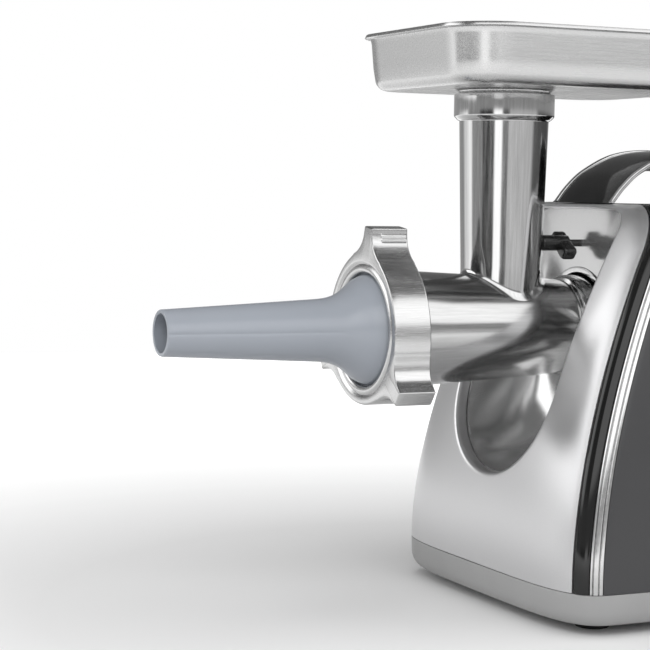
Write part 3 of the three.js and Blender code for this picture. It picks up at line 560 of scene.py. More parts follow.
def body_panels():
    hoop_panel("band", "black_gloss", "body_band",
               SHELL_SEAM + SEAM_GAP, lambda z: front_y(z) + BAND_SEAM, 12,
               relief=lambda s: -0.25 + 0.5 * math.sin(math.pi * s))
    hoop_panel("trim", "polished_silver", "trim_hoop",
               BAND_SEAM + SEAM_GAP, lambda z: front_y(z) + TRIM_SEAM, 44, relief=trim_relief)
    hoop_panel("side_housing", "grey_plastic", "main_housing",
               TRIM_SEAM + SEAM_GAP, lambda z: np.full(np.shape(z), REAR_SEAM), 60,
               cutters=[panel_opening()])


def trim_relief(share):
    """Three raised ribs with two deep grooves between them."""
    grooves = [0.2, 0.66]
    depth = sum(1.1 * math.exp(-((share - g) / 0.045) ** 2) for g in grooves)
    return 0.35 - depth


# ---------------------------------------------------------------- scoop

SCOOP_HALF = 49
SCOOP_ARC_Z = -30                                # centre of the half circle at its bottom
SCOOP_TOP = 65
SCOOP_TOP_R = 14
SCOOP_BACK = 134
SOCKET_R = high("socket_ring", X) + 0.3          # hole in the scoop, around the collar
RIM_ROUND = 2.6                                  # rounding of the shell at the scoop
EDGE_ROUND = 2.6                                 # and at its outer seam


def scoop_outline():
    """Closed outline seen from the front: round below, straight sides, small corners above."""
    half, r, top = SCOOP_HALF, SCOOP_TOP_R, SCOOP_TOP
    points = []
    for angle in np.linspace(math.pi, 2 * math.pi, 60):
        points.append([half * math.cos(angle), SCOOP_ARC_Z + half * math.sin(angle)])
    for z in np.linspace(SCOOP_ARC_Z, top - r, 24)[1:]:
        points.append([half, z])
    for angle in np.linspace(0, math.pi / 2, 14)[1:]:
        points.append([half - r + r * math.cos(angle), top - r + r * math.sin(angle)])
    for x in np.linspace(half - r, r - half, 24)[1:]:
        points.append([x, top])
    for angle in np.linspace(math.pi / 2, math.pi, 14)[1:]:
        points.append([r - half + r * math.cos(angle), top - r + r * math.sin(angle)])
    for z in np.linspace(top - r, SCOOP_ARC_Z, 24)[1:-1]:
        points.append([-half, z])
    return np.array(points)


def rim_depth(z):
    """How far the shell turns in at the scoop's rim: 3.2 mm at the top and 6.5 mm at the bottom."""
    share = np.clip((60 - z) / 60, 0, 1)
    return 3.2 + 3.3 * share * share * (3 - 2 * share)


def front_view(depth_at):
    """Outline of a seam seen from the front: both sides, the top and the bottom."""
    edge = hoop(depth_at)
    across = edge[::-1][:, [0, 2]]
    bottom = np.linspace(across[-1, 0], across[0, 0], 42)[1:-1]
    return np.concatenate([across, np.stack([bottom, np.full(40, BODY_BOTTOM)], axis=-1)])


def bend(first, corner, last, steps):
    """Curve from first to last that leans towards the corner."""
    return [(1 - s) ** 2 * first + 2 * s * (1 - s) * corner + s * s * last
            for s in np.linspace(0, 1, steps + 1)]


def front_shell():
    """Silver front: rolled rim around the scoop, nearly flat face, edges rolled to the seam."""
    centre = (0.0, -10.0)
    boundary = front_view(lambda z: front_y(z) + SHELL_SEAM)
    angles = np.arctan2(boundary[:, 1] - centre[1], boundary[:, 0] - centre[0])
    rim = scoop_outline()
    rim_r = np.array([ray_radius(rim, a, centre) for a in angles])
    direction = np.stack([np.cos(angles), np.sin(angles)], axis=-1)
    rim_xz = np.array(centre) + direction * rim_r[:, None]
    room = np.linalg.norm(boundary - rim_xz, axis=1)
    rolled = np.minimum(RIM_ROUND, 0.38 * room)[:, None]
    inset = np.minimum(EDGE_ROUND, 0.45 * room)[:, None]
    on_top = boundary[:, 1] > BODY_TOP - 1e-3

    def on_front(xz, push=0.0):
        return np.stack([xz[:, 0], front_surface(xz[:, 0], xz[:, 1]) + push, xz[:, 1]], axis=-1)

    outer_edge = on_front(boundary)
    outer_edge[on_top, 1] = front_y(BODY_TOP) + SHELL_SEAM
    face_edge = boundary - direction * inset
    rim_start = rim_xz + direction * rolled
    rim_end = on_front(rim_xz)
    deep = rim_end.copy()
    deep[:, 1] += rim_depth(rim_xz[:, 1])
    shallow = rim_end.copy()
    shallow[:, 1] += rolled[:, 0]
    rows = [deep, deep * 0.5 + shallow * 0.5]
    rows += bend(shallow, rim_end, on_front(rim_start), 7)
    for share in np.linspace(0, 1, 40)[1:-1]:
        rows.append(on_front(rim_start * (1 - share) + face_edge * share))
    rows += bend(on_front(face_edge), on_front(boundary), outer_edge, 8)
    shape = sheet(np.array(rows), SHEET * 0.8, True, INSIDE, 0.25)
    piece("shell", shape, "machine", "satin_silver", ["front_shell"])


def scoop_insert():
    """Polished funnel from the scoop's rim back to the round socket."""
    rim = scoop_outline()
    rows = []
    angles = turns(240)
    rim_r = np.array([ray_radius(rim, a) for a in angles])
    rim_x, rim_z = rim_r * np.cos(angles), rim_r * np.sin(angles)
    rim_y = front_surface(rim_x, rim_z) + rim_depth(rim_z) + SEAM_GAP
    for share in np.linspace(0, 1, 40):
        angle = math.pi / 2 * share
        r = SOCKET_R + (rim_r - SOCKET_R) * math.cos(angle)
        y = rim_y + (SCOOP_BACK - rim_y) * math.sin(angle)
        rows.append(np.stack([r * np.cos(angles), y, r * np.sin(angles)], axis=-1))
    grid = np.array(rows)
    front_side = (0, -400, 0)
    shape = sheet(grid[:, ::-1], -2.0, True, front_side, 0.25)
    piece("scoop", shape, "machine", "polished_silver", ["hub_surround"], "scoop_silver")


def socket():
    """Thin bright collar around the neck, standing a little proud of the scoop."""
    outer, lip_r, inner = SOCKET_R - 0.3, SOCKET_R + 1.3, 29.3
    lip_front, lip_back, back = SCOOP_BACK - 0.9, SCOOP_BACK - 0.25, high("socket_ring", Y)
    lip = rounded([(inner, SCOOP_BACK + 1), (inner + 0.3, lip_front, 0.7), (lip_r, lip_front, 0.7),
                   (lip_r, lip_back, 0.2), (outer, lip_back, 0.1), (outer, back), (inner, back)], 0.3)
    piece("neck_socket", lathe(lip, 160), "machine", "polished_silver", ["socket_ring"])


# ---------------------------------------------------------------- base, rear and feet


def slice_outline(z, inset):
    """Level outline of the body at its foot, evenly walked around."""
    half = float(side_x(BODY_BOTTOM)) - inset
    front = []
    for angle in np.linspace(-math.pi / 2, math.pi / 2, 81):
        x = half * math.copysign(abs(math.sin(angle)) ** (2 / FRONT_SQUARE), math.sin(angle))
        y = float(front_y(z)) + inset + FRONT_DEPTH * (1 - abs(math.cos(angle)) ** (2 / FRONT_SQUARE))
        front.append([x, y])
    rear = []
    for angle in np.linspace(math.pi / 2, -math.pi / 2, 81):
        x = half * math.copysign(abs(math.sin(angle)) ** (2 / REAR_SQUARE), math.sin(angle))
        y = REAR_Y - inset - REAR_DEPTH * (1 - abs(math.cos(angle)) ** (2 / REAR_SQUARE))
        rear.append([x, y])
    loop = np.array(front + rear + front[:1])
    return resample(loop, 241)[:-1]


def base():
    """Shallow pan; its outline is inset evenly near the edge and shrinks to a point beyond that."""
    bottom = low("base_pan", Z)
    top = BODY_BOTTOM - SEAM_GAP
    even, point = 30, 97
    profile = rounded([(point, bottom), (3.0, bottom, 2.5), (0.4, bottom + 5, 3), (0, top)], 1, 6, False)
    rows = []
    for inset, z in profile:
        flat = slice_outline(BODY_BOTTOM, min(inset, even))
        if inset > even:
            centre = flat.mean(axis=0)
            flat = centre + (flat - centre) * (point - inset) / (point - even)
        rows.append(np.column_stack([flat, np.full(len(flat), z)]))
    shape = sheet(np.array(rows), 3, True, (0, 180, BODY_BOTTOM + 40))
    piece("base", shape, "machine", "pale_grey_plastic", ["base_pan"])


def feet():
    for corner in ("front_left", "front_right", "rear_left", "rear_right"):
        node = "foot_" + corner
        top = high(node, Z)
        profile = rounded([(0, FLOOR_Z), (6.5, FLOOR_Z), (7, FLOOR_Z + 0.5), (8.6, FLOOR_Z, 0.5),
                           (10, FLOOR_Z + 2, 1.5), (9.6, top), (0, top)], 0.4, 4, False)
        shape = lathe(profile, 64, "z", (middle(node, X), middle(node, Y), 0))
        piece("rubber_" + node, shape, "machine", "rubber", [node])


def rear_cover():
    """Rear shell with air slots and the hole for the cord's gland."""
    centre = np.array([0.0, -30.0])
    boundary = front_view(lambda z: np.full(np.shape(z), REAR_SEAM + SEAM_GAP))
    direction = boundary - centre
    direction /= np.linalg.norm(direction, axis=1, keepdims=True)
    on_bottom = boundary[:, 1] < BODY_BOTTOM + 1e-3
    corner = np.clip((boundary[:, 1] - CORNER_Z) / CORNER_R, 0, 1)[:, None] ** 2

    def on_rear(xz):
        return np.stack([xz[:, 0], rear_surface(xz[:, 0], xz[:, 1]), xz[:, 1]], axis=-1)

    outer_edge = on_rear(boundary)
    outer_edge[~on_bottom, 1] = REAR_SEAM + SEAM_GAP
    face_edge = boundary - direction * 5
    knee_edge = boundary - direction * 2 * (1 - corner)
    rows = [outer_edge]
    knee = on_rear(knee_edge)
    rows += bend(outer_edge * 0.4 + knee * 0.6, knee, on_rear(face_edge), 8)
    for share in np.linspace(0, 1, 40)[1:] ** 1.5:
        rows.append(on_rear(face_edge * (1 - share) + centre * share))
    hole_r = 7.3
    hole = [(0, 240), (hole_r, 240), (hole_r, 300), (0, 300)]
    cutters = [lathe(hole, 48, "y", (0, 0, middle("cord_gland", Z)))]
    lowest_slot, slot_pitch = -30, 11
    for k in range(5):
        slot = rounded_rectangle(38, 2, 1.9, 6) + np.array([0, lowest_slot + slot_pitch * k])
        cutters.append(prism(slot, 230, 300, 0.01, "y", 1))
    shape = sheet(np.array(rows), SHEET, True, (0, 150, -40))
    piece("rear_shell", shape, "machine", "grey_plastic", ["rear_cover"], cutters=cutters)


def gland():
    start, end = low("cord_gland", Y), high("cord_gland", Y)
    profile = rounded([(3.6, start), (10, start), (10, start + 2), (7, start + 2), (7, end - 3),
                       (6, end, 0.8), (3.6, end, 0.8)], 0.4)
    shape = lathe(profile, 64, "y", (0, 0, middle("cord_gland", Z)))
    piece("gland", shape, "machine", "black_plastic", ["cord_gland"])


# ---------------------------------------------------------------- handle


def arch(offset, count=90):
    """Crown line of the handle from foot to foot, `offset` below its top."""
    strip = "handle_strip_left"
    foot_z, crown = low(strip, Z), high(strip, Z) - offset
    centre = middle(strip, Y)
    foot = low(strip, Y) + 1.25 * offset
    rise = [[foot, foot_z], [foot + 8, foot_z + 9.6 - 0.1 * offset],
            [153 + 0.8 * offset, 87 - 0.6 * offset], [172, 96 - offset], [centre, crown]]
    mirrored = [[2 * centre - y, z] for y, z in reversed(rise[:-1])]
    return curve_through(rise + mirrored, count)


def handle():
    """Wide strap, thin at its edges and full along its middle, between two bright strips."""
    half = high("handle_body", X)
    foot_z = low("handle_body", Z)
    outer = arch(0.3)
    under = rounded([(146, foot_z), (160, 82, 10), (170, 86.5, 8), (220, 86.5, 8), (230, 82, 10),
                     (244, foot_z)], 1, 10, False)
    under = resample(under, len(outer))
    across = half * np.sin(np.linspace(-math.pi / 2, math.pi / 2, 33))
    fullness = 0.3 + 0.7 * (1 - (across / half) ** 2) ** 0.8
    rows = []
    for top, bottom in zip(outer, under):
        drop = (bottom - top) / np.linalg.norm(bottom - top)
        crown = [[x, *(top + drop * 0.9 * (x / half) ** 4)] for x in across]
        belly = [[x, *(top + (bottom - top) * share)] for x, share in zip(across, fullness)]
        rows.append(crown + belly[::-1])
    piece("handle", rings(rows, closed=False), "machine", "black_gloss", ["handle_body"], crease=50)
    strip = np.concatenate([arch(0), arch(2.6)[::-1]])
    for side in ("left", "right"):
        node = "handle_strip_" + side
        shape = prism(strip, low(node, X), high(node, X), 0.7, "x", 4)
        piece("trim_" + node, shape, "machine", "polished_silver", [node])


# ---------------------------------------------------------------- head lock


def lock():
    """Knob of a round hub and a lopsided wing, tilted towards the machine's right."""
    z = middle("lock_spindle", Z)
    start, end = low("lock_knob", Y), high("lock_knob", Y)
    hub = rounded([(0, start), (3.4, start, 0.6), (4.5, start + 1, 0.6), (4.3, start + 4), (4.3, end - 1),
                   (0, end - 1)], 0.3, 4, False)
    piece("knob_hub", lathe(hub, 64, "y", (0, 0, z)), "lock", "black_plastic", ["lock_knob"])
    wing = rounded([(-7, -2.4, 1.6), (-5.5, -3.3, 1.6), (0, -3.1, 4), (8, -3.7, 3), (11.5, -2.4, 1.8),
                    (11.5, 2.8, 2), (9.5, 4.3, 2.4), (0, 3.3, 5), (-5.5, 3.3, 2), (-7, 2.4, 1.6)], 2, 5)
    tilt = math.radians(-40)
    spin = np.array([[math.cos(tilt), math.sin(tilt)], [-math.sin(tilt), math.cos(tilt)]])
    wing_depth = 8
    shape = prism(wing @ spin + np.array([0, z]), end - wing_depth, end, 1.7, "y", 6)
    piece("knob_wing", shape, "lock", "black_plastic", ["lock_knob"])


# ---------------------------------------------------------------- grinding head


def barrel_radius(y):
    """The barrel narrows towards the machine."""
    return np.interp(y, [22.5, 47, 113, 119], [31.2, 29.85, 26.4, 26.0])


def head():
    """Barrel and neck turned in one, opened into the feed tube that stands on it."""
    mouth = low("grinder_head", Y)
    neck_end = high("grinder_head", Y)
    profile = rounded([(33.2, mouth), (35.8, mouth), (35.8, 20.5), (31.2, 22.5, 2), (29.85, 47, 6),
                       (26.4, 113, 8), (25.9, 119.5, 2), (24.6, 122, 1), (27.6, 122.6, 1), (28.3, 125, 2),
                       (28.3, neck_end), (21.5, neck_end), (21.5, 133), (11, 133), (11, 116), (23.2, 116),
                       (26.65, 47), (28.4, 12.8), (33.2, 12.8)], 0.4)
    bore = lathe([(0, 5), (18.2, 5), (18.2, 60), (0, 60)], 96, "z", (0, TUBE_Y, 0))
    piece("barrel", lathe(profile, 192), "head", "cast_aluminium", ["grinder_head"], cutters=[bore])
    piece("feed_tube", rings(feed_tube()), "head", "cast_aluminium", ["grinder_head"], "tube_metal")


def feed_tube():
    """Conical tube with a collar above and a fillet where it stands on the barrel."""
    base_r, fillet, inner_r = 20.9, 3.2, 18.1
    angles = turns(192)

    def barrel_top(r):
        x, y = r * np.cos(angles), TUBE_Y + r * np.sin(angles)
        return np.sqrt(np.maximum(1, barrel_radius(y) ** 2 - x ** 2))

    def ring(r, z):
        z = np.broadcast_to(z, angles.shape)
        return np.stack([r * np.cos(angles), TUBE_Y + r * np.sin(angles), z], axis=-1)

    foot = base_r + 0.03 * barrel_top(base_r)
    spread = ring(foot + fillet, barrel_top(foot + fillet) - 0.05)
    corner = ring(foot, barrel_top(foot))
    rise = ring(foot + 0.03 * fillet, barrel_top(foot) + fillet)
    rows = [ring(foot, barrel_top(foot) - 2.5)] + bend(spread, corner, rise, 8)
    top_r, collar_r = 24.1, 27.1
    start_z = float(barrel_top(foot).max()) + fillet + 2
    upper = rounded([(base_r + 0.0286 * start_z, start_z), (top_r, 111.6, 0.4), (collar_r - 1.9, 112, 0.4),
                     (collar_r, 114, 0.6), (collar_r, HEAD_TOP, 0.8), (24.4, HEAD_TOP, 0.5), (24.4, 118, 1),
                     (21.3, 112, 2), (inner_r, 40)], 0.5, 4, False)
    return rows + [ring(r, z) for r, z in upper] + [ring(inner_r, barrel_top(inner_r) - 1)]


LUG_ROOT_R, LUG_ROOT_HALF = 38.4, 15.5
LUG_TIP_R = 54.5
RING_R = 39.6                                    # between the lugs
GRIP_LINES = (47.6, 49.4, 51.2)                  # their distances from the axis


def lug_flank():
    """Half outline of one lug as [radius, half width], from its root to its tip."""
    root = [LUG_ROOT_R, LUG_ROOT_HALF]
    return curve_through([root, [40.2, 12.2], [43, 8.9], [46.5, 6.4], [50, 5.2], [53, 4.7]], 46)


def ring_outline():
    """Outline of the screw ring, and how far each point is along the first lug's near flank."""
    outline, groove = [], []
    flank = lug_flank()
    root_r = math.hypot(LUG_ROOT_R, LUG_ROOT_HALF)
    corners = [(53, 4.7), (LUG_TIP_R, 4.5, 1.2), (LUG_TIP_R, -4.5, 1.2), (53, -4.7)]
    for k in range(3):
        centre = math.radians(90 - 7 - 120 * k)
        tip = rounded(corners, 1.2, 6, False)[1:-1]
        half = [(r, w) for r, w in flank] + [tuple(p) for p in tip] + [(r, -w) for r, w in flank[::-1]]
        lug = []
        for r, w in half:
            turn = centre + math.asin(w / math.hypot(r, w))
            lug.append([math.hypot(r, w) * math.cos(turn), math.hypot(r, w) * math.sin(turn)])
            groove.append(r if k == 0 and w < 0 and abs(w) > 4.6 else 0)
        outline += lug
        last = math.atan2(lug[-1][1], lug[-1][0])
        first = centre - math.radians(120) + math.asin(LUG_ROOT_HALF / root_r)
        span = (first - last + math.pi) % (2 * math.pi) - math.pi
        for step in np.linspace(0, 1, 40)[1:-1]:
            turn = last + span * step
            radius = root_r + (RING_R - root_r) * math.sin(math.pi * step) ** 0.5
            outline.append([radius * math.cos(turn), radius * math.sin(turn)])
            groove.append(0)
    return np.array(outline), np.array(groove)


def screw_ring():
    """Ring nut: three lugs, a bead around the opening, and grip lines across one flank."""
    outline, groove = ring_outline()
    normals = outline_normals(outline)
    length = high("screw_ring", Y)
    angles = np.arctan2(outline[:, 1], outline[:, 0])

    def flat(points, y):
        return np.stack([points[:, 0], np.full(len(points), y), points[:, 1]], axis=-1)

    def circle(r, y):
        return flat(np.stack([r * np.cos(angles), r * np.sin(angles)], axis=-1), y)

    rows = []
    for r, y in [(36.3, length), (36.3, 4.2), (30.2, 4.2), (30, 1.6), (30.4, 0.8), (31.2, 0.3),
                 (32.2, 0.1), (33.4, 0.25), (34.2, 0.7), (34.6, 1.0), (35.2, 0.7), (35.8, 0.2), (36.6, 0)]:
        rows.append(circle(r, y))
    edge = 1.0
    for a in np.linspace(0, math.pi / 2, 5):
        rows.append(flat(outline - normals * edge * (1 - math.sin(a)), edge * (1 - math.cos(a))))
    lines = sum(np.exp(-((groove - r) / 0.28) ** 2) for r in GRIP_LINES) * 0.45
    for y in [3, 5, 5.4, 5.8, 6.2, 9, 12, 15, 18, length - edge - 0.1]:
        sunk = lines * np.clip((y - 5.2) / 0.8, 0, 1)
        rows.append(flat(outline - normals * sunk[:, None], y))
    for a in np.linspace(0, math.pi / 2, 5):
        rows.append(flat(outline - normals * edge * (1 - math.cos(a)), length - edge * (1 - math.sin(a))))
    piece("ring_nut", rings(rows), "ring", "cast_aluminium", ["screw_ring"], "ring_metal")


def nozzle():
    """Sausage nozzle with a bell mouth and four shallow grooves along it."""
    start = low("sausage_nozzle", Y)
    knots = [[29.4, 4.3], [28.6, 1.0], [26.2, -3.4], [23.0, -7.4], [20.2, -11.5], [18.0, -16.5],
             [16.6, -23.5], [15.75, -38], [15.0, -52], [13.35, -84], [11.95, start + 0.6]]
    outer = curve_through(knots, 80)
    wall = 1.7
    tip = [[11.7, start + 0.15], [11.3, start], [11.9 - wall, start], [11.6 - wall, start + 0.4]]
    inner = outer[::-1] - np.array([wall, 0])
    flange = [[29, 7.3], [35.3, 7.3], [35.5, 7.1], [35.5, 4.5], [35.3, 4.3]]
    profile = np.concatenate([outer, tip, inner[:-1], flange])
    angles = turns(240)
    rows = []
    for i, (r, y) in enumerate(profile):
        radius, along = np.full(len(angles), r), np.full(len(angles), y)
        if i < len(outer):
            fade = np.clip((-14 - y) / 6, 0, 1)
            away = np.abs((angles + math.pi / 4) % (math.pi / 2) - math.pi / 4) * r
            radius = radius - fade * 0.35 * np.exp(-(away / 0.75) ** 2)
        rows.append(np.stack([radius * np.cos(angles), along, radius * np.sin(angles)], axis=-1))
    piece("nozzle_tube", rings(rows), "nozzle", "nozzle_plastic", ["sausage_nozzle"], crease=50)


# ---------------------------------------------------------------- tray, pusher and controls


def tray():
    """Deep tray with a spigot that drops into the feed tube, and a rolled rim."""
    half_x, half_y = high("feed_tray", X), (high("feed_tray", Y) - low("feed_tray", Y)) / 2
    centre_y = middle("feed_tray", Y)
    rim = high("feed_tray", Z)
    bottom = low("feed_tray", Z)
    angles = turns(240)

    def pan(shrink, z):
        outline = rounded_rectangle(half_x - shrink, half_y - shrink, 30 - shrink) + np.array([0, centre_y])
        r = np.array([ray_radius(outline, a, (0.0, TUBE_Y)) for a in angles])
        return np.stack([r * np.cos(angles), TUBE_Y + r * np.sin(angles), np.full(240, z)], axis=-1)

    def ring(r, z):
        return np.stack([r * np.cos(angles), TUBE_Y + r * np.sin(angles), np.full(240, z)], axis=-1)

    floor = 128
    rows = [ring(23.8, bottom), ring(23.9, bottom + 3), ring(23.9, floor - 2), ring(24.6, floor - 0.5),
            ring(26, floor)]
    start, end = ring(26, floor), pan(14, floor)
    rows += [start * (1 - s) + end * s for s in (0.25, 0.5, 0.75)]
    rows += bend(pan(14, floor), pan(8, floor), pan(6.6, floor + 5), 6)
    rows += [pan(5.4, floor + 12), pan(4.2, rim - 5), pan(3.6, rim - 2.2)]
    rows += bend(pan(3.5, rim - 2), pan(1, rim - 2), pan(0.2, rim - 1.4), 4)
    shape = sheet(np.array(rows), 2, True, (0, centre_y, rim + 60), 0.3)
    piece("tray", shape, "tray", "cast_aluminium", ["feed_tray"], "tray_metal")


def pusher():
    """Plunger with a disc that rests in the tray, a waist and a round grip."""
    bottom, top = low("food_pusher", Z), high("food_pusher", Z)
    seat = 130.6
    profile = rounded([(0, bottom), (16.6, bottom, 1.5), (17.4, bottom + 3, 1), (17.4, seat), (26, seat, 0.8),
                       (26, seat + 3, 1), (14, seat + 6, 6), (12.6, 146, 6), (19, 152, 5), (21, 156, 3),
                       (17, top - 1, 4), (0, top)], 0.6, 6, False)
    shape = lathe(profile, 128, "z", (0, TUBE_Y, 0))
    piece("pusher", shape, "pusher", "grey_plastic", ["food_pusher"], "pusher_grey")


PANEL_Y = middle("control_bezel", Y)
PANEL_Z = -30
PANEL_HALF_Y, PANEL_HALF_Z, PANEL_R = 17, 38, 12
START_R, START_Z = 11, 16                        # from the panel's middle
REVERSE_R, REVERSE_Z = 8, -20
KEY_GAP = 0.3


def at_panel(shape):
    """Turns and moves a shape so that its own +X points straight out of the control panel."""
    points, faces = shape
    slope = math.atan(float(side_x(PANEL_Z - 10) - side_x(PANEL_Z + 10)) / 20)
    cos, sin = math.cos(slope), math.sin(slope)
    turn = np.array([[cos, 0, sin], [0, 1, 0], [-sin, 0, cos]])
    return points @ turn + np.array([float(side_x(PANEL_Z)), PANEL_Y, PANEL_Z]), faces


def panel_opening():
    """Cutter for the hole in the side housing that the bezel sits in."""
    outline = rounded_rectangle(PANEL_HALF_Y + KEY_GAP, PANEL_HALF_Z + KEY_GAP, PANEL_R, 12)
    return at_panel(prism(outline, -12, 6, 0.01, "x", 1))


def controls():
    """Black bezel with a dished start button above a smaller reverse button."""
    holes = []
    for r, z in ((START_R + KEY_GAP, START_Z), (REVERSE_R + KEY_GAP, REVERSE_Z)):
        holes.append(at_panel(lathe([(0, -9), (r, -9), (r, 9), (0, 9)], 64, "x", (0, 0, z))))
    outline = rounded_rectangle(PANEL_HALF_Y, PANEL_HALF_Z, PANEL_R, 12)
    bezel = at_panel(prism(outline, -4.2, 0.8, 0.8, "x", 4))
    piece("bezel", bezel, "machine", "black_gloss", ["control_bezel"], cutters=holes)
    keys = [("start", START_R, START_Z, "white_plastic", "white_plastic"),
            ("reverse", REVERSE_R, REVERSE_Z, "grey_plastic", "pusher_grey")]
    for key, r, z, slot, look in keys:
        profile = rounded([(0, -6), (r, -6), (r, 2.3, 0.8), (r * 0.8, 2.5, 2), (r * 0.5, 1.9, 3), (0, 1.7)],
                          0.5, 5, False)
        shape = at_panel(lathe(profile, 96, "x", (0, 0, z)))
        piece(key + "_cap", shape, key + "_key", slot, [key + "_button"], look)


# ---------------------------------------------------------------- studio


def camera():
    """Looks at the head from the machine's right and a little in front, from just above."""
    out = Vector((0.9041, -0.4216, 0.0698)).normalized()       # from the aim point to the lens
    right = Vector((0.4226, 0.9063, 0)).normalized()
    up = out.cross(right)
    aim = Vector((0, RING_Y, AXIS_Z)) - right * 0.0189 + up * 0.0021
    roll = math.radians(0.9)
    right_rolled = right * math.cos(roll) + up * math.sin(roll)
    up_rolled = up * math.cos(roll) - right * math.sin(roll)
    data = bpy.data.cameras.new("camera")
    data.lens = 105.2
    data.sensor_width = 36
    data.clip_start = 0.01
    obj = linked("camera", data)
    turn = Matrix((right_rolled, up_rolled, out)).transposed()
    obj.matrix_world = Matrix.Translation(aim + out) @ turn.to_4x4()
    bpy.context.scene.camera = obj


def softbox(name, spot, target, width, height, power):
    """Rectangular lamp that lights surfaces but isn't itself mirrored in them."""
    data = bpy.data.lights.new(name, "AREA")
    data.shape = "RECTANGLE"
    data.size = width
    data.size_y = height
    data.energy = power
    obj = linked(name, data)
    obj.location = spot
    obj.rotation_euler = (Vector(target) - Vector(spot)).to_track_quat("-Z", "Y").to_euler()
    obj.visible_glossy = False


# Brightness by heading in degrees below the horizon, and by height in degrees above it.
AROUND = [(-180, 0.4), (-162, 0.42), (-150, 1.1), (-124, 1.7), (-117, 0.42), (-89, 0.4), (-83, 0.04),
          (-56, 0.04), (-51, 2.2), (-36, 2.2), (-31, 0.15), (-20, 0.15), (-15, 0.8), (46, 0.8),
          (58, 0.15), (140, 0.08), (165, 0.35), (180, 0.45)]
ABOVE = [(-90, 0.5), (-5, 0.5), (8, 0.42), (13, 0.2), (38, 0.16), (48, 0.16), (90, 0.18)]


def world():
    """Pale room; reflections see bright panels and dark flags around the object."""
    scene = bpy.context.scene
    scene.world = bpy.data.worlds.new("studio")
    scene.world.use_nodes = True
    tree = scene.world.node_tree
    tree.nodes.clear()
    coords = tree.nodes.new("ShaderNodeTexCoord")
    split = tree.nodes.new("ShaderNodeSeparateXYZ")
    tree.links.new(coords.outputs["Generated"], split.inputs[0])
    heading = combined(tree, "ARCTAN2", split.outputs["Y"], split.outputs["X"])
    turned = ranged(tree, heading, 0, 1, -math.pi, math.pi)
    raised = ranged(tree, split.outputs["Z"], 0, 1, -1, 1)
    around = ramp(tree, turned, AROUND, -180, 180)
    above = ramp(tree, raised, ABOVE, -90, 90, True)
    side_box = panel(tree, turned, raised, (-65, 85), (12, 42), 1.7)
    front_box = panel(tree, turned, raised, (-142, -100), (8, 34), 2.2)
    blend = tree.nodes.new("ShaderNodeMapRange")
    blend.interpolation_type = "SMOOTHSTEP"
    blend.inputs["From Min"].default_value = -0.02
    blend.inputs["From Max"].default_value = 0.03
    tree.links.new(split.outputs["Z"], blend.inputs["Value"])
    mix = tree.nodes.new("ShaderNodeMix")
    mix.data_type = "RGBA"
    tree.links.new(blend.outputs["Result"], mix.inputs[0])
    tree.links.new(around, mix.inputs[6])
    tree.links.new(above, mix.inputs[7])
    level = combined(tree, "ADD", combined(tree, "ADD", mix.outputs[2], side_box), front_box)
    mirrored = tree.nodes.new("ShaderNodeBackground")
    tree.links.new(level, mirrored.inputs["Color"])
    seen = tree.nodes.new("ShaderNodeBackground")
    seen.inputs["Color"].default_value = (1, 1, 1, 1)
    seen.inputs["Strength"].default_value = 1.0
    path = tree.nodes.new("ShaderNodeLightPath")
    choose = tree.nodes.new("ShaderNodeMixShader")
    tree.links.new(path.outputs["Is Camera Ray"], choose.inputs[0])
    tree.links.new(mirrored.outputs[0], choose.inputs[1])
    tree.links.new(seen.outputs[0], choose.inputs[2])
    output = tree.nodes.new("ShaderNodeOutputWorld")
    tree.links.new(choose.outputs[0], output.inputs["Surface"])


def combined(tree, operation, first, second):
    """Result of one operation on two values."""
    node = tree.nodes.new("ShaderNodeMath")
    node.operation = operation
    tree.links.new(first, node.inputs[0])
    tree.links.new(second, node.inputs[1])
    return node.outputs[0]


def panel(tree, turned, raised, across, upwards, level):
    """A soft-edged bright panel between two headings and two heights, in degrees."""
    left, right = across
    bottom, top = upwards
    sideways = [(-180, 0), (left - 5, 0), (left, 1), (right, 1), (right + 5, 0), (180, 0)]
    height = [(-90, 0), (bottom - 3, 0), (bottom + 2, level), (top, level), (top + 5, 0), (90, 0)]
    width = ramp(tree, turned, sideways, -180, 180)
    rise = ramp(tree, raised, height, -90, 90, True)
    return combined(tree, "MULTIPLY", width, rise)


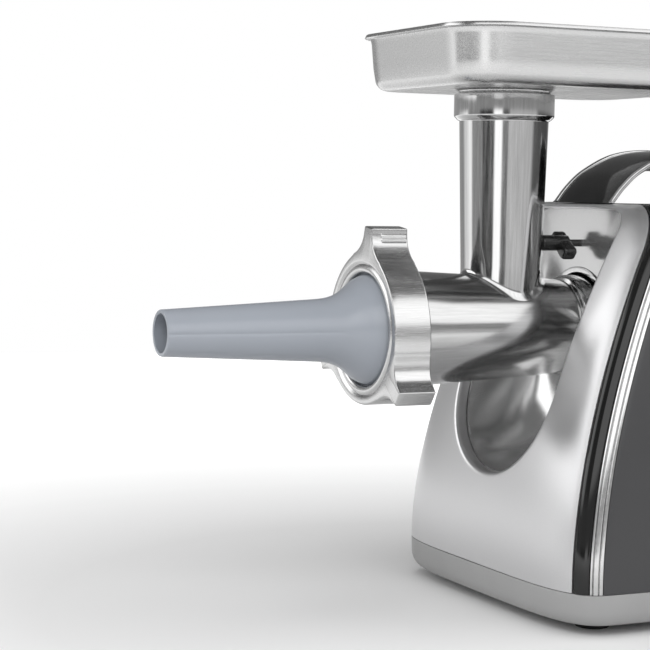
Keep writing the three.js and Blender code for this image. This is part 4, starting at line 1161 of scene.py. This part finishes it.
def ramp(tree, value, stops, lowest, highest, by_sine=False):
    """Brightness along an angle in degrees; by_sine places the stops by height instead."""
    node = tree.nodes.new("ShaderNodeValToRGB")
    node.color_ramp.interpolation = "EASE"
    elements = node.color_ramp.elements
    while len(elements) < len(stops):
        elements.new(0.5)
    for element, (angle, level) in zip(elements, stops):
        share = (angle - lowest) / (highest - lowest)
        if by_sine:
            share = (math.sin(math.radians(angle)) + 1) / 2
        element.position = share
        element.color = (level, level, level, 1)
    tree.links.new(value, node.inputs["Fac"])
    return node.outputs["Color"]


FLOOR_RADIUS = 1.6                               # metres


def floor_material():
    """Pale grey near the object, where real shadows show, and glowing white further out: a painted glow whose
    fall-off leaves painted shade around the object.
    """
    look, tree, shader = new_material("floor_painted_glow")
    fine = noise(tree, EVEN, 40)
    tree.links.new(ranged(tree, fine, 0.88, 0.9), shader.inputs["Roughness"])
    shader.inputs["Base Color"].default_value = (0.78, 0.78, 0.78, 1)
    spot = tree.nodes.new("ShaderNodeTexCoord")
    distance = tree.nodes.new("ShaderNodeVectorMath")
    distance.operation = "LENGTH"
    tree.links.new(spot.outputs["Object"], distance.inputs[0])
    # painted glow: emission rises with distance from the middle, so the floor near the object stays darker as
    # painted shade
    tree.links.new(ranged(tree, distance.outputs["Value"], 0.0, 0.75, 0.25, 0.9),
                   shader.inputs["Emission Strength"])
    shader.inputs["Specular IOR Level"].default_value = 0.1
    shader.inputs["Emission Color"].default_value = (1, 1, 1, 1)
    return look


def studio():
    look = floor_material()
    mesh = bpy.data.meshes.new("floor")
    work = bmesh.new()
    bmesh.ops.create_circle(work, cap_ends=True, segments=96, radius=FLOOR_RADIUS)
    work.to_mesh(mesh)
    work.free()
    floor = linked("floor", mesh)
    mesh.materials.append(look)
    softbox("key", (1.0, -0.9, 1.1), (0, 0, 0.15), 0.9, 0.7, 9)
    softbox("top", (0.1, 0.1, 1.6), (0, 0, 0.15), 1.2, 1.2, 8)
    bpy.context.scene.view_settings.view_transform = "Standard"
    bpy.context.scene.view_settings.look = "None"


camera()
world()
studio()
finish_cad_nodes()
front_shell()
scoop_insert()
socket()
body_panels()
base()
feet()
rear_cover()
gland()
handle()
lock()
head()
screw_ring()
nozzle()
tray()
pusher()
controls()
